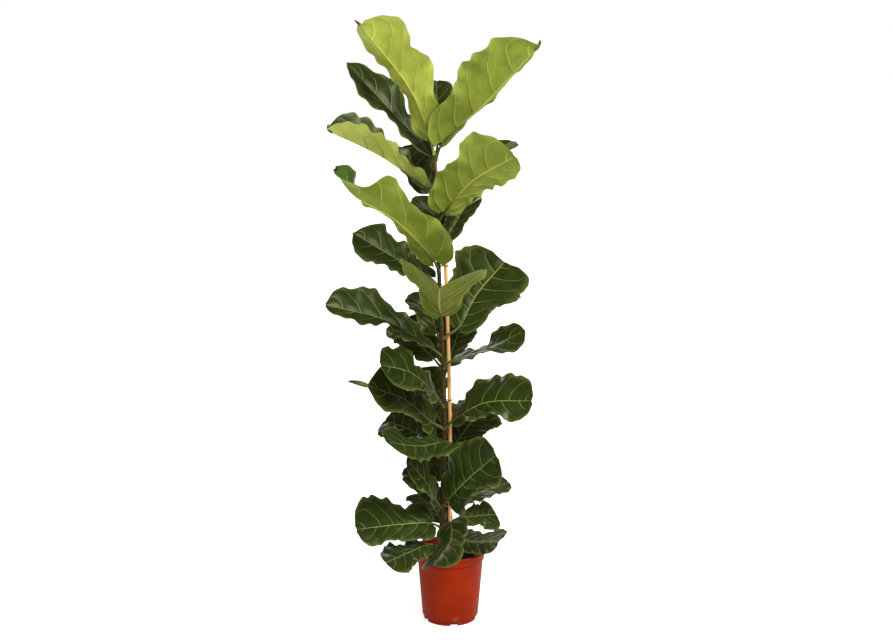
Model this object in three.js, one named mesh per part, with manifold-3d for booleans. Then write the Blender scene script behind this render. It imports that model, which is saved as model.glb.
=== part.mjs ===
// Potted fiddle leaf fig: one trunk tied to a cane, with its leaves, in a plastic nursery pot.
// Millimetres, +Z up. The origin is the middle of the pot's underside, on the ground.
import * as THREE from 'three';
import * as BufferGeometryUtils from 'three/addons/utils/BufferGeometryUtils.js';
import Module from 'manifold-3d';

const wasm = await Module();
wasm.setup();

// Pot: a 21 cm nursery pot
const POT_HEIGHT = 208;
const RIM_RADIUS = 105;
const LIP_DROP = 6;
const BAND_RADIUS = 97.5;
const BAND_BOTTOM = 180;
const BODY_TOP_RADIUS = 94;
const BODY_BOTTOM_RADIUS = 80.5;
const FOOT_RADIUS = 76;
const FOOT_HEIGHT = 13;
const WALL = 2.2;
const FLOOR = 4;
const EDGE = 1;
const STEP = 2;
const LIP_WIDTH = 4;
const POT_SIDES = 36;
const SHOULDER = BAND_BOTTOM - 2 * STEP;
const NOTCHES = 5;
const NOTCH_TURN = -82;
const NOTCH_WIDTH = [26, 12];
const NOTCH_REACH = 15;
const NOTCH_TOP = 10;

// Soil, trunk, cane and ties
const CLEARANCE = 0.4;
const SOIL_TOP = 186;
const SOIL_RELIEF = [1.5, 1.2];
const SOIL_HEAPS = [11, 13, 7];
const SOIL_RINGS = 4;
const TRUNK_LINE = [
  [-26, 0, 110], [-23, 0, 320], [-17, 0, 560], [-22, 0, 780], [-32, 0, 1015], [-40, 0, 1260],
  [-43, 0, 1345],
];
const TRUNK_RADIUS = [8.6, 4.6];
const TRUNK_STEPS = 40;
const CANE_STEPS = 30;
const NODE_SPACING = 32;
const NODE_SWELL = 0.9;
const NODE_SHARPNESS = 4;
const BUD_LENGTH = 34;
const BUD_POINT = 0.12;
const CANE_LINE = [[-4, 8, 30], [-1, 8, 560], [-14, 8, 1062]];
const CANE_RADIUS = 5.2;
const CANE_NODES = [190, 455, 700, 925];
const CANE_SWELL = 0.8;
const TIE_HEIGHTS = [437, 643, 1026];
const TIE_WIRE = 1.1;
const TIE_STEPS = 20;
const TIE_SIDES = 5;
const ARC_STEPS = 6;
const STEM_SIDES = 8;
const HALVINGS = 24;
const SLEEVE = [30, 1.3];

// Leaf blades. ACROSS and ALONG: where the blade is sampled. BASE and TIP: share of the length that
// the lobes at that end take, and how far they reach past it.
const BLADE = 1.2;
const KEEL = [2.2, 0.45];
const FOLD_START = 0.25;
const FOLD_RATE = 3;
const SIDES_APART = 0.4;
const WAVE_START = 0.08;
const STALK_RADIUS = [4.4, 3.3];
const ACROSS = [-1, -0.64, -0.28, 0, 0.28, 0.64, 1];
const ALONG = [0, 0.04, 0.13, 0.26, 0.4, 0.54, 0.68, 0.81, 0.93, 1];
const STALK_STEPS = [1, 3];
const STALK_GAP = 0.25;
const CURVE_PARTS = 24;
const [BASE_SHARE, BASE_REACH] = [0.16, 0.06];
const [TIP_SHARE, TIP_REACH] = [0.2, 0.012];
const BLUNT_FROM = 0.68;
const TIP_HALF_WIDTH = 2.5;
const LOBES = [0.09, 2.4];
// Fiddle outline: part of the length from the stalk, part of the half width
const OUTLINE = [
  [0, 0.12], [0.04, 0.46], [0.13, 0.65], [0.26, 0.66], [0.4, 0.74], [0.54, 0.88],
  [0.68, 1], [0.81, 1], [0.93, 0.76], [1, 0.12],
];

// Leaves from the top down. from: height where the stalk leaves the trunk. rib: blade base, middle
// and tip of the midrib. half: half widths, left and right as seen from the trunk with the upper
// face up. fold: degrees that each half is raised. roll: degrees that the blade leans, at even steps.
// wave: height of the edge's waves, how many along the blade, and where the first begins.
// lobes: how much the outline's lobes stand out, how many there are, and where the first begins.
// bend: a point that the stalk goes through, round the cane. base, tip: how broad the ends are.
const LEAVES = [
  { from: 1325, rib: [[-60, -12, 1390], [-105, -50, 1505], [-236, -95, 1676]],
    half: [92, 74], fold: [8, 44], roll: [-52, -45], wave: [12, 2.6, 0.1], lobes: [0.16, 2.5, 0.08],
    tip: 1.2, young: true },
  { from: 1318, rib: [[-20, -14, 1368], [95, -45, 1475], [235, -80, 1625]],
    half: [28, 122], fold: [48, 4], roll: [55, 50], wave: [11, 2.6, 0.5], lobes: [0.2, 1, 0.44],
    tip: 0.5, young: true },
  { from: 1282, rib: [[-62, 14, 1338], [-175, 40, 1462], [-285, 65, 1580]],
    half: [70, 74], fold: [15, 12], roll: [22, 30, 26, 12], wave: [8, 2.4, 0.3],
    lobes: [0.3, 1.7, 0.89], base: 0.75, tip: 0.6 },
  { from: 1312, rib: [[-36, 34, 1362], [-38, 90, 1448], [-38, 145, 1530]],
    half: [48, 50], fold: [20, 20], roll: [0, 0], wave: [6, 2.2, 0.6] },
  { from: 1205, rib: [[-76, -12, 1250], [-180, -40, 1328], [-330, -60, 1402]],
    half: [64, 76], fold: [58, 62], roll: [-10, 2, 20], wave: [9, 2.5, 0.2], lobes: [0.14, 1.9, 0.1],
    tip: 0.9 },
  { from: 1186, rib: [[-60, 30, 1232], [-100, 90, 1290], [-138, 170, 1345]],
    half: [70, 70], fold: [15, 15], roll: [10, 10], wave: [6, 2.3, 0.4] },
  { from: 1010, rib: [[-45, -40, 1045], [-140, -112, 1160], [-260, -150, 1240], [-305, -160, 1305]],
    half: [104, 72], fold: [2, 48], roll: [-52, -50, -45, 30], wave: [11, 2.4, 0.7],
    base: 1.25, young: true },
  { from: 1145, rib: [[-14, -28, 1180], [55, -80, 1265], [170, -120, 1335]],
    half: [76, 112], fold: [12, 6], roll: [46, 46], wave: [9, 2.3, 0.1], young: true },
  { from: 1070, rib: [[-8, 22, 1105], [25, 70, 1155], [55, 140, 1215]],
    half: [52, 52], fold: [20, 20], roll: [-10, -10], wave: [6, 2.2, 0.2] },
  { from: 965, rib: [[-58, 0, 995], [-155, 15, 1047], [-272, 25, 1115]],
    half: [88, 75], fold: [-6, 25], roll: [14, 14], wave: [7, 2.5, 0.9], tip: 0.45 },
  { from: 860, rib: [[-25, -60, 895], [-30, -170, 945], [-28, -290, 1010]],
    half: [134, 138], fold: [30, 44], roll: [0, 0], wave: [8, 2.1, 0.3], base: 0.62 },
  { from: 818, bend: [-7, -4, 832], rib: [[26, 2, 856], [74, 58, 936], [155, 112, 1022]],
    half: [120, 114], fold: [6, 6], roll: [-30, -30], wave: [9, 2.4, 0.4], base: 0.7, tip: 2.4 },
  { from: 770, rib: [[-58, -12, 800], [-180, -40, 880], [-342, -60, 925]],
    half: [56, 84], fold: [4, 25], roll: [12, 25], wave: [9, 2.6, 0.1], lobes: [0.16, 2, 0.75], tip: 0.8 },
  { from: 735, rib: [[0, -18, 760], [90, -40, 797], [205, -62, 855]],
    half: [46, 60], fold: [8, 8], roll: [-4, -14, -60], wave: [6, 2.2, 0.8], tip: 0.7 },
  { from: 622, rib: [[-46, -36, 674], [-110, -78, 740], [-190, -122, 772]],
    half: [96, 76], fold: [6, 12], roll: [34, 34], wave: [7, 2.3, 0.5] },
  { from: 730, rib: [[-48, 24, 760], [-92, 72, 792], [-140, 130, 850]],
    half: [70, 72], fold: [15, 15], roll: [24, 24], wave: [6, 2.3, 0.2] },
  { from: 560, rib: [[-54, -16, 585], [-125, -60, 658], [-232, -100, 710]],
    half: [76, 80], fold: [10, 6], roll: [42, 42], wave: [7, 2.5, 0.6], base: 1.35, tip: 0.3 },
  { from: 495, rib: [[-60, 8, 522], [-120, 50, 546], [-190, 92, 560]],
    half: [68, 68], fold: [12, 12], roll: [32, 32], wave: [6, 2.3, 0.1] },
  { from: 465, rib: [[-34, 34, 494], [-42, 92, 534], [-44, 160, 592]],
    half: [70, 72], fold: [15, 15], roll: [5, 5], wave: [6, 2.2, 0.7] },
  { from: 500, rib: [[-5, -46, 535], [-85, -110, 540], [-172, -185, 572]],
    half: [84, 78], fold: [-14, 18], roll: [2, 6], wave: [7, 2.2, 0.3], tip: 0.7 },
  { from: 560, rib: [[12, -24, 594], [95, -60, 650], [224, -90, 664]],
    half: [104, 58], fold: [4, -16], roll: [-32, -32], wave: [9, 2.3, 0.5], lobes: [0.2, 1.2, 0.71],
    tip: 1.2 },
  { from: 480, bend: [-14, 21, 492], rib: [[16, 32, 510], [50, 62, 550], [98, 110, 595]],
    half: [75, 80], fold: [10, 10], roll: [-24, -24], wave: [7, 2.2, 0.9] },
  { from: 335, rib: [[-4, -46, 368], [44, -84, 432], [126, -120, 518]],
    half: [96, 78], fold: [4, 4], roll: [-70, -66], wave: [7, 2.4, 0.2], lobes: [0.32, 1, 0.8],
    base: 1.25, tip: 1.4 },
  { from: 290, rib: [[10, 38, 322], [81, 80, 346], [170, 118, 368]],
    half: [56, 58], fold: [10, 10], roll: [-14, -14], wave: [6, 2.3, 0.4] },
  { from: 308, rib: [[-46, 28, 342], [-78, 80, 372], [-106, 140, 416]],
    half: [50, 60], fold: [12, 12], roll: [24, 24], wave: [6, 2.2, 0.8], base: 0.85 },
  { from: 325, rib: [[-42, -17, 355], [-68, -50, 418], [-122, -98, 495]],
    half: [58, 64], fold: [8, 10], roll: [58, 58], wave: [6, 2.2, 0.5] },
  { from: 265, rib: [[-52, -24, 288], [-140, -62, 298], [-262, -100, 296]],
    half: [70, 98], fold: [-4, 8], roll: [34, 26], wave: [6, 2.5, 0.6], lobes: [0.2, 1, 0.05],
    base: 1.25 },
  { from: 212, rib: [[-64, -50, 234], [-118, -92, 226], [-180, -128, 210]],
    half: [60, 64], fold: [-10, -2], roll: [16, 12], wave: [6, 2.2, 0.3] },
  { from: 262, rib: [[0, -42, 298], [0, -114, 268], [-46, -192, 226]],
    half: [60, 74], fold: [-12, -18], roll: [-26, -20], wave: [4, 2, 0.1], lobes: [0.06, 1.5, 0.1],
    base: 1.4, tip: 1.8 },
  { from: 256, bend: [-15, 20, 268], rib: [[34, 34, 286], [81, 70, 280], [135, 112, 270]],
    half: [46, 54], fold: [8, 4], roll: [-38, -38], wave: [7, 2.2, 0.2] },
  { from: 206, rib: [[14, -17, 234], [77, -60, 248], [136, -106, 264]],
    half: [64, 50], fold: [-8, -8], roll: [-26, -24], wave: [3, 2.1, 0.7], lobes: [0.04, 1.5, 0.2],
    base: 1.35, tip: 2 },
  { from: 1166, rib: [[-24, 28, 1218], [60, 85, 1290], [190, 125, 1350]],
    half: [50, 52], fold: [40, 40], roll: [0, 0], wave: [6, 2.3, 0.4] },
  { from: 800, rib: [[-38, 42, 828], [-52, 92, 868], [-66, 152, 930]],
    half: [70, 70], fold: [15, 15], roll: [5, 5], wave: [6, 2.2, 0.5] },
  { from: 705, rib: [[-6, 42, 738], [10, 98, 778], [32, 162, 838]],
    half: [58, 58], fold: [15, 15], roll: [-5, -5], wave: [6, 2.2, 0.1] },
  { from: 1040, rib: [[-34, 36, 1072], [-44, 94, 1132], [-36, 162, 1200]],
    half: [72, 72], fold: [18, 18], roll: [0, 0], wave: [7, 2.3, 0.3] },
  { from: 570, rib: [[-42, 36, 600], [-64, 98, 640], [-92, 162, 700]],
    half: [68, 68], fold: [14, 14], roll: [4, 4], wave: [6, 2.2, 0.6] },
  { from: 370, rib: [[-22, 38, 402], [-20, 102, 446], [-6, 172, 505]],
    half: [72, 72], fold: [12, 12], roll: [0, 0], wave: [7, 2.2, 0.9] },
  { from: 240, rib: [[-28, 38, 272], [-52, 98, 300], [-82, 162, 320]],
    half: [66, 66], fold: [6, 6], roll: [0, 0], wave: [6, 2.1, 0.2] },
];

const material = (color, roughness) => new THREE.MeshStandardMaterial({ color, roughness, metalness: 0 });
const POT_PLASTIC = material('#b4361c', 0.45);
const POTTING_SOIL = material('#1a120c', 0.95);
const BARK = material('#6b4a2a', 0.8);
const BAMBOO = material('#d39a66', 0.5);
const TIE_COAT = material('#15161a', 0.5);
const YOUNG_LEAF = material('#9db440', 0.5);
const MATURE_LEAF = material('#35511f', 0.35);

const radians = THREE.MathUtils.degToRad;
const lerp = THREE.MathUtils.lerp;
const vector = (point) => new THREE.Vector3(...point);
const lineThrough = (points) => new THREE.CatmullRomCurve3(points.map(vector), false, 'centripetal');

// ---- Meshes and booleans ----

// Closed body through rings of equal point counts. The rings run round the way ahead. From
// `under` on, the quads are split the other way, so that both faces of a blade split alike.
function loft(rings, under = Infinity) {
  const count = rings[0].length;
  const positions = rings.flat().flatMap((point) => point.toArray());
  const faces = [];
  for (let ring = 0; ring + 1 < rings.length; ring += 1) {
    for (let side = 0; side < count; side += 1) {
      const next = (side + 1) % count;
      const [a, b] = [ring * count + side, ring * count + next];
      const [c, d] = [b + count, a + count];
      if (side < under) faces.push(a, b, c, a, c, d);
      else faces.push(a, b, d, b, c, d);
    }
  }
  closeEnd(positions, faces, rings[0], 0, true);
  closeEnd(positions, faces, rings.at(-1), (rings.length - 1) * count, false);
  return geometryOf(positions, faces);
}

function closeEnd(positions, faces, ring, start, isFirst) {
  const centre = new THREE.Vector3();
  ring.forEach((point) => centre.addScaledVector(point, 1 / ring.length));
  const middle = positions.length / 3;
  positions.push(...centre.toArray());
  ring.forEach((_, side) => {
    const [here, next] = [start + side, start + (side + 1) % ring.length];
    faces.push(middle, ...(isFirst ? [next, here] : [here, next]));
  });
}

function geometryOf(positions, faces) {
  const geometry = new THREE.BufferGeometry();
  geometry.setAttribute('position', new THREE.Float32BufferAttribute(positions, 3));
  geometry.setIndex(faces);
  geometry.computeVertexNormals();
  return geometry;
}

function solidOf(geometry) {
  const bare = geometry.clone();
  bare.deleteAttribute('normal');
  bare.deleteAttribute('uv');
  const merged = BufferGeometryUtils.mergeVertices(bare, 1e-4);
  const vertProperties = new Float32Array(merged.attributes.position.array);
  const triVerts = new Uint32Array(merged.index.array);
  return new wasm.Manifold(new wasm.Mesh({ numProp: 3, vertProperties, triVerts }));
}

function cutAway(geometry, ...cutters) {
  let solid = solidOf(geometry);
  cutters.forEach((cutter) => { solid = solid.subtract(solidOf(cutter)); });
  const mesh = solid.getMesh();
  return geometryOf(Array.from(mesh.vertProperties), Array.from(mesh.triVerts));
}

// Lathe about Z from a profile of [radius, height] that runs from the axis back to the axis
function turned(profile, sides) {
  const outline = profile.map(([radius, height]) => new THREE.Vector2(radius, height));
  return new THREE.LatheGeometry(outline, sides).rotateX(Math.PI / 2);
}

// Round stem along a curve; radiusAt gives the radius for a share of the length
function stem(curve, radiusAt, steps, sides = STEM_SIDES) {
  const rings = [];
  for (let step = 0; step <= steps; step += 1) {
    const share = step / steps;
    const centre = curve.getPointAt(share);
    const ahead = curve.getTangentAt(share);
    const side = new THREE.Vector3(0, 1, 0).cross(ahead).normalize();
    const back = new THREE.Vector3().crossVectors(ahead, side);
    rings.push(Array.from({ length: sides }, (_, index) => {
      const angle = (2 * Math.PI * index) / sides;
      return centre.clone()
        .addScaledVector(side, radiusAt(share) * Math.cos(angle))
        .addScaledVector(back, radiusAt(share) * Math.sin(angle));
    }));
  }
  return loft(rings);
}

// ---- Pot and soil ----

function makePot() {
  const bandTop = POT_HEIGHT - 1.5 * LIP_DROP;
  const outside = [
    [0, 0], [FOOT_RADIUS - EDGE, 0], [FOOT_RADIUS, EDGE], [FOOT_RADIUS, FOOT_HEIGHT - STEP],
    [BODY_BOTTOM_RADIUS, FOOT_HEIGHT], [BODY_TOP_RADIUS, BAND_BOTTOM - STEP],
    [BAND_RADIUS, BAND_BOTTOM], [BAND_RADIUS + EDGE, bandTop],
    [RIM_RADIUS, POT_HEIGHT - LIP_DROP], [RIM_RADIUS, POT_HEIGHT - EDGE], [RIM_RADIUS - EDGE, POT_HEIGHT],
  ];
  const inside = [
    [RIM_RADIUS - LIP_WIDTH, POT_HEIGHT], [BAND_RADIUS - WALL, bandTop - EDGE],
    [BODY_TOP_RADIUS - WALL, SHOULDER], [BODY_BOTTOM_RADIUS - WALL, FOOT_HEIGHT],
    [FOOT_RADIUS - WALL, FLOOR], [0, FLOOR],
  ];
  const shell = turned([...outside, ...inside], POT_SIDES);
  return cutAway(shell, ...Array.from({ length: NOTCHES }, (_, index) => makeNotch(index)));
}

// Drain notch: a trapezoid through the foot, open to the floor of the pot
function makeNotch(index) {
  const [low, high] = NOTCH_WIDTH.map((width) => width / 2);
  const section = new THREE.Shape([
    new THREE.Vector2(-low, -EDGE), new THREE.Vector2(low, -EDGE),
    new THREE.Vector2(high, NOTCH_TOP), new THREE.Vector2(-high, NOTCH_TOP),
  ]);
  const notch = new THREE.ExtrudeGeometry(section, { depth: 2 * NOTCH_REACH, bevelEnabled: false });
  notch.rotateX(Math.PI / 2).rotateZ(Math.PI);
  notch.translate(0, FOOT_RADIUS - NOTCH_REACH, 0);
  return notch.rotateZ(radians(NOTCH_TURN - 90 + index * (360 / NOTCHES)));
}

function soilRelief(x, y) {
  const [wide, deep, slant] = SOIL_HEAPS;
  const heaps = SOIL_RELIEF[0] * Math.sin(x / wide) * Math.cos(y / deep);
  return heaps + SOIL_RELIEF[1] * Math.sin((x + y) / slant);
}

function makeSoil() {
  const foot = BODY_BOTTOM_RADIUS - WALL - CLEARANCE;
  const shoulder = BODY_TOP_RADIUS - WALL - CLEARANCE;
  const top = Array.from({ length: SOIL_RINGS }, (_, ring) => [
    shoulder * (1 - ring / SOIL_RINGS), SOIL_TOP,
  ]);
  const profile = [
    [0, FLOOR + CLEARANCE], [FOOT_RADIUS - WALL - 2 * CLEARANCE, FLOOR + CLEARANCE],
    [foot, FOOT_HEIGHT + CLEARANCE], [shoulder, SHOULDER], ...top, [0, SOIL_TOP],
  ];
  const body = turned(profile, POT_SIDES / 2);
  const points = body.attributes.position;
  for (let index = 0; index < points.count; index += 1) {
    const [x, y, z] = [points.getX(index), points.getY(index), points.getZ(index)];
    if (z >= SOIL_TOP) points.setZ(index, z + soilRelief(x, y));
  }
  return cutAway(body, makeTrunk(CLEARANCE), makeCane(CLEARANCE));
}

// ---- Trunk, cane and ties ----

const trunkLine = lineThrough(TRUNK_LINE);
const caneLine = lineThrough(CANE_LINE);

// Point of the trunk's axis at a height
function trunkAt(height) {
  let [low, high] = [0, 1];
  for (let halving = 0; halving < HALVINGS; halving += 1) {
    const middle = (low + high) / 2;
    if (trunkLine.getPointAt(middle).z < height) low = middle;
    else high = middle;
  }
  return trunkLine.getPointAt(low);
}

function makeTrunk(extra = 0) {
  const length = trunkLine.getLength();
  const radiusAt = (share) => {
    const height = share * length;
    const ring = Math.max(0, Math.cos((2 * Math.PI * height) / NODE_SPACING)) ** NODE_SHARPNESS;
    const bud = Math.sqrt(Math.min(1, (length - height) / BUD_LENGTH));
    return (lerp(...TRUNK_RADIUS, share) + NODE_SWELL * ring) * lerp(BUD_POINT, 1, bud) + extra;
  };
  return stem(trunkLine, radiusAt, TRUNK_STEPS);
}

function makeCane(extra = 0) {
  const [bottom, length] = [CANE_LINE[0][2], caneLine.getLength()];
  const radiusAt = (share) => {
    const height = bottom + share * length;
    const near = Math.min(...CANE_NODES.map((node) => Math.abs(node - height)));
    return CANE_RADIUS + CANE_SWELL * Math.max(0, 1 - near / (length / CANE_STEPS)) + extra;
  };
  return stem(caneLine, radiusAt, CANE_STEPS);
}

// Wire loop round trunk and cane at a height
function makeTie(height) {
  const trunk = trunkAt(height);
  const [bottom, top] = [CANE_LINE[0][2], CANE_LINE.at(-1)[2]];
  const cane = caneLine.getPointAt((height - bottom) / (top - bottom));
  const toCane = Math.atan2(cane.y - trunk.y, cane.x - trunk.x);
  const room = CLEARANCE + TIE_WIRE;
  const loop = [
    ...halfCircle(cane, toCane, CANE_RADIUS + CANE_SWELL + room, height),
    ...halfCircle(trunk, toCane + Math.PI, TRUNK_RADIUS[0] + NODE_SWELL + room, height),
  ];
  return ringTube(new THREE.CatmullRomCurve3(loop, true, 'centripetal'), TIE_WIRE);
}

// Points of the half of a circle that faces one way
function halfCircle(centre, facing, radius, height) {
  return Array.from({ length: ARC_STEPS + 1 }, (_, index) => {
    const angle = facing + Math.PI * (index / ARC_STEPS - 0.5);
    const [out, aside] = [radius * Math.cos(angle), radius * Math.sin(angle)];
    return new THREE.Vector3(centre.x + out, centre.y + aside, height);
  });
}

// Closed tube round a level curve
function ringTube(curve, radius) {
  const positions = [];
  const faces = [];
  for (let step = 0; step < TIE_STEPS; step += 1) {
    const centre = curve.getPointAt(step / TIE_STEPS);
    const ahead = curve.getTangentAt(step / TIE_STEPS);
    const out = new THREE.Vector3(ahead.y, -ahead.x, 0).normalize();
    const [here, after] = [step * TIE_SIDES, ((step + 1) % TIE_STEPS) * TIE_SIDES];
    for (let side = 0; side < TIE_SIDES; side += 1) {
      const angle = (2 * Math.PI * side) / TIE_SIDES;
      const point = centre.clone().addScaledVector(out, radius * Math.cos(angle));
      point.z += radius * Math.sin(angle);
      positions.push(...point.toArray());
      const next = (side + 1) % TIE_SIDES;
      faces.push(here + side, after + next, here + next, here + side, after + side, after + next);
    }
  }
  return geometryOf(positions, faces);
}

// ---- Leaves ----

function outlineAt(share) {
  const last = OUTLINE.findIndex(([along]) => along >= share);
  if (last <= 0) return OUTLINE[0][1];
  const [[startAt, start], [endAt, end]] = [OUTLINE[last - 1], OUTLINE[last]];
  return lerp(start, end, (share - startAt) / (endAt - startAt));
}

// Value at a share of the way through a list of values in even steps
function spread(values, share) {
  const place = share * (values.length - 1);
  const first = Math.min(Math.floor(place), values.length - 2);
  return lerp(values[first], values[first + 1], place - first);
}

// Directions at a share of the blade: ahead along the rib, right across it, up from its upper face
function bladeFrame(curve, share, leanDegrees) {
  const ahead = curve.getTangentAt(share);
  const [start, end] = [curve.getPointAt(0), curve.getPointAt(1)];
  const outward = end.sub(start).setZ(0).normalize();
  const right = new THREE.Vector3(outward.y, -outward.x, 0);
  right.addScaledVector(ahead, -right.dot(ahead)).normalize();
  const up = new THREE.Vector3().crossVectors(right, ahead);
  const lean = radians(leanDegrees);
  const across = right.clone().multiplyScalar(Math.cos(lean)).addScaledVector(up, Math.sin(lean));
  return { ahead, across, up: new THREE.Vector3().crossVectors(across, ahead) };
}

// Half width of the blade at a share of its length, on its left (0) or its right (1)
function halfWidth(leaf, along, side) {
  const slim = lerp(leaf.base ?? 1, 1, Math.min(1, 2 * along));
  const width = outlineAt(along) ** (along > BLUNT_FROM ? 1 / (leaf.tip ?? 1) : 1);
  const [amount, count, start] = leaf.lobes ?? [...LOBES, leaf.wave[2]];
  const turn = 2 * Math.PI * (count * along + start + SIDES_APART * side);
  const lobed = 1 + amount * Math.sin(turn) * Math.sin(Math.PI * along);
  return Math.max(TIP_HALF_WIDTH, leaf.half[side] * width * slim * lobed);
}

// One point of the blade: `along` from 0 at the base to 1 at the tip, `over` from -1 to 1 across
function bladePoint(leaf, frame, centre, length, along, over, face) {
  const side = over < 0 ? 0 : 1;
  const reach = Math.abs(over) * halfWidth(leaf, along, side);
  const fold = radians(leaf.fold[side]) * Math.min(1, FOLD_RATE * along + FOLD_START);
  const [height, count, start] = leaf.wave;
  const swing = Math.sin(2 * Math.PI * (count * along + start + SIDES_APART * side));
  const fading = Math.sqrt(Math.sin(Math.PI * Math.min(1, along + WAVE_START)));
  const wave = height * over * over * swing * fading;
  const base = Math.max(0, 1 - along / BASE_SHARE) * BASE_REACH;
  const end = Math.max(0, 1 - (1 - along) / TIP_SHARE) * TIP_REACH * (leaf.tip ?? 1);
  const behind = (base - end) * length * over * over;
  const sign = Math.sign(over);
  const keel = face < 0 && over === 0 ? lerp(...KEEL, along) : 0;
  const thick = (face * BLADE) / 2 - keel;
  return centre.clone()
    .addScaledVector(frame.ahead, -behind)
    .addScaledVector(frame.across, sign * reach * Math.cos(fold) - sign * thick * Math.sin(fold))
    .addScaledVector(frame.up, reach * Math.sin(fold) + wave + thick * Math.cos(fold));
}

function stalkRing(centre, frame, radius) {
  const count = 2 * ACROSS.length;
  return Array.from({ length: count }, (_, index) => {
    const angle = Math.PI - ((index + 0.5) * 2 * Math.PI) / count;
    return centre.clone()
      .addScaledVector(frame.across, radius * Math.cos(angle))
      .addScaledVector(frame.up, radius * Math.sin(angle));
  });
}

function makeLeaf(leaf) {
  const route = [trunkAt(leaf.from), ...(leaf.bend ? [leaf.bend] : []).map(vector)];
  const whole = new THREE.CatmullRomCurve3([...route, ...leaf.rib.map(vector)], false, 'centripetal');
  const baseAt = route.length / (route.length + leaf.rib.length - 1);
  const blade = partOf(whole, baseAt, 1);
  const stalk = partOf(whole, 0, baseAt);
  const length = blade.getLength();
  const rings = [];
  const steps = STALK_STEPS[leaf.bend ? 1 : 0];
  for (let step = 0; step <= steps; step += 1) {
    const share = step / (steps + STALK_GAP);
    const frame = bladeFrame(stalk, share, leaf.roll[0]);
    rings.push(stalkRing(stalk.getPointAt(share), frame, lerp(...STALK_RADIUS, share)));
  }
  ALONG.forEach((along) => {
    const frame = bladeFrame(blade, along, spread(leaf.roll, along));
    const centre = blade.getPointAt(along);
    const upper = ACROSS.map((over) => bladePoint(leaf, frame, centre, length, along, over, 1));
    const lower = ACROSS.map((over) => bladePoint(leaf, frame, centre, length, along, over, -1));
    rings.push([...upper, ...lower.reverse()]);
  });
  return cutAway(loft(rings, ACROSS.length), makeSleeve(leaf.from));
}

// Straight stretch of the trunk, with room round it, that a stalk is cut back to
function makeSleeve(height) {
  const [reach, room] = SLEEVE;
  const line = new THREE.LineCurve3(trunkAt(height - reach), trunkAt(height + reach));
  const share = height / TRUNK_LINE.at(-1)[2];
  return stem(line, () => lerp(...TRUNK_RADIUS, share) + room, 1);
}

// The stretch of a curve between two of its parameters, as a curve of its own
function partOf(curve, start, end) {
  const share = (index) => lerp(start, end, index / CURVE_PARTS);
  const points = Array.from({ length: CURVE_PARTS + 1 }, (_, index) => curve.getPoint(share(index)));
  return new THREE.CatmullRomCurve3(points, false, 'centripetal');
}

// ---- The plant ----

const plant = new THREE.Group();

function place(name, geometry, finish) {
  const mesh = new THREE.Mesh(geometry, finish);
  mesh.name = name;
  plant.add(mesh);
}

place('pot', makePot(), POT_PLASTIC);
place('soil', makeSoil(), POTTING_SOIL);
place('trunk', makeTrunk(), BARK);
place('cane', makeCane(), BAMBOO);
TIE_HEIGHTS.forEach((height, index) => place(`tie_${index + 1}`, makeTie(height), TIE_COAT));
LEAVES.forEach((leaf, index) => {
  const finish = leaf.young ? YOUNG_LEAF : MATURE_LEAF;
  place(`leaf_${String(index + 1).padStart(2, '0')}`, makeLeaf(leaf), finish);
});

export default plant;
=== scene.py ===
"""Potted fiddle leaf fig: the finished looks of every piece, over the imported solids. The scene is in
metres with +Z up. The sizes and lines of the pieces are written in millimetres."""

import math
import random

import bpy
import numpy as np
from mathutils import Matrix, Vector


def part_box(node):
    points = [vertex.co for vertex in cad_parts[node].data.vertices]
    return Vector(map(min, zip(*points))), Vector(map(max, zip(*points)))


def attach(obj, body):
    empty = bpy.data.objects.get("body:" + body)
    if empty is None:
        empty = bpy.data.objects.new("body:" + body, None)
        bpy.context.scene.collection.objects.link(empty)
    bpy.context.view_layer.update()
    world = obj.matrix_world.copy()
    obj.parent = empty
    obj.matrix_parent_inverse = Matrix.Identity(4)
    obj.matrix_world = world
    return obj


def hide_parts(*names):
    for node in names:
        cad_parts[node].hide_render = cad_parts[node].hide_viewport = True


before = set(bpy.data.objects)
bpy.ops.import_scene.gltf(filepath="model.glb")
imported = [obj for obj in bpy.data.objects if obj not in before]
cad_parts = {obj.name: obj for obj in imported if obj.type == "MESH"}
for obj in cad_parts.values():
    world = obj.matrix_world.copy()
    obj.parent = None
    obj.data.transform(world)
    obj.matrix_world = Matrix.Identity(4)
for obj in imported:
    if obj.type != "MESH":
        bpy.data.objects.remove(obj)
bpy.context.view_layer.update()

# ---- Nursery pot ----
# A round pot of terracotta-coloured plastic, moulded in one piece: a rolled lip, a band under it, a
# long tapered body and a stepped foot with five drain notches cut up into it.

MM = 0.001
POT_SIDES = 160
POT_FLOOR = 4
FOOT_RADIUS = 76
FOOT_TOP = 12
NOTCH_COUNT = 5
NOTCH_TURN = -82
NOTCH_HALF_WIDTHS = (13, 6)
NOTCH_TOP = 10
NOTCH_REACH = 15
PLASTIC_COLOUR = (0.25, 0.017, 0.001)
PLASTIC_SHADE = (0.205, 0.0125, 0.0008)
# The groove colour is painted shade: the shadow in the grooves under the lip, under the band and at the
# foot's step
GROOVE_PAINTED_SHADE = (0.06, 0.005, 0.001)
PLASTIC_SCUFF = (0.5, 0.16, 0.09)
GROOVE_SHADE_HEIGHTS = (12.4, 179, 199.8)
EDGE_ROUNDING = 0.7


def add(tree, kind, given=None, **settings):
    """A node of a tree. given holds its inputs by name or number: values, or sockets to link."""
    node = tree.nodes.new(kind)
    for key, value in settings.items():
        setattr(node, key, value)
    for key, value in (given or {}).items():
        socket = node.inputs[key]
        for source in value if isinstance(value, list) else [value]:
            if isinstance(source, bpy.types.NodeSocket):
                tree.links.new(source, socket)
            else:
                socket.default_value = source
    return node


def result(tree, kind, given=None, **settings):
    """The first result socket of a new node."""
    return add(tree, kind, given, **settings).outputs[0]


def calc(tree, operation, *values):
    """The result socket of one sum on values or sockets."""
    return result(tree, "ShaderNodeMath", dict(enumerate(values)), operation=operation)


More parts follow.
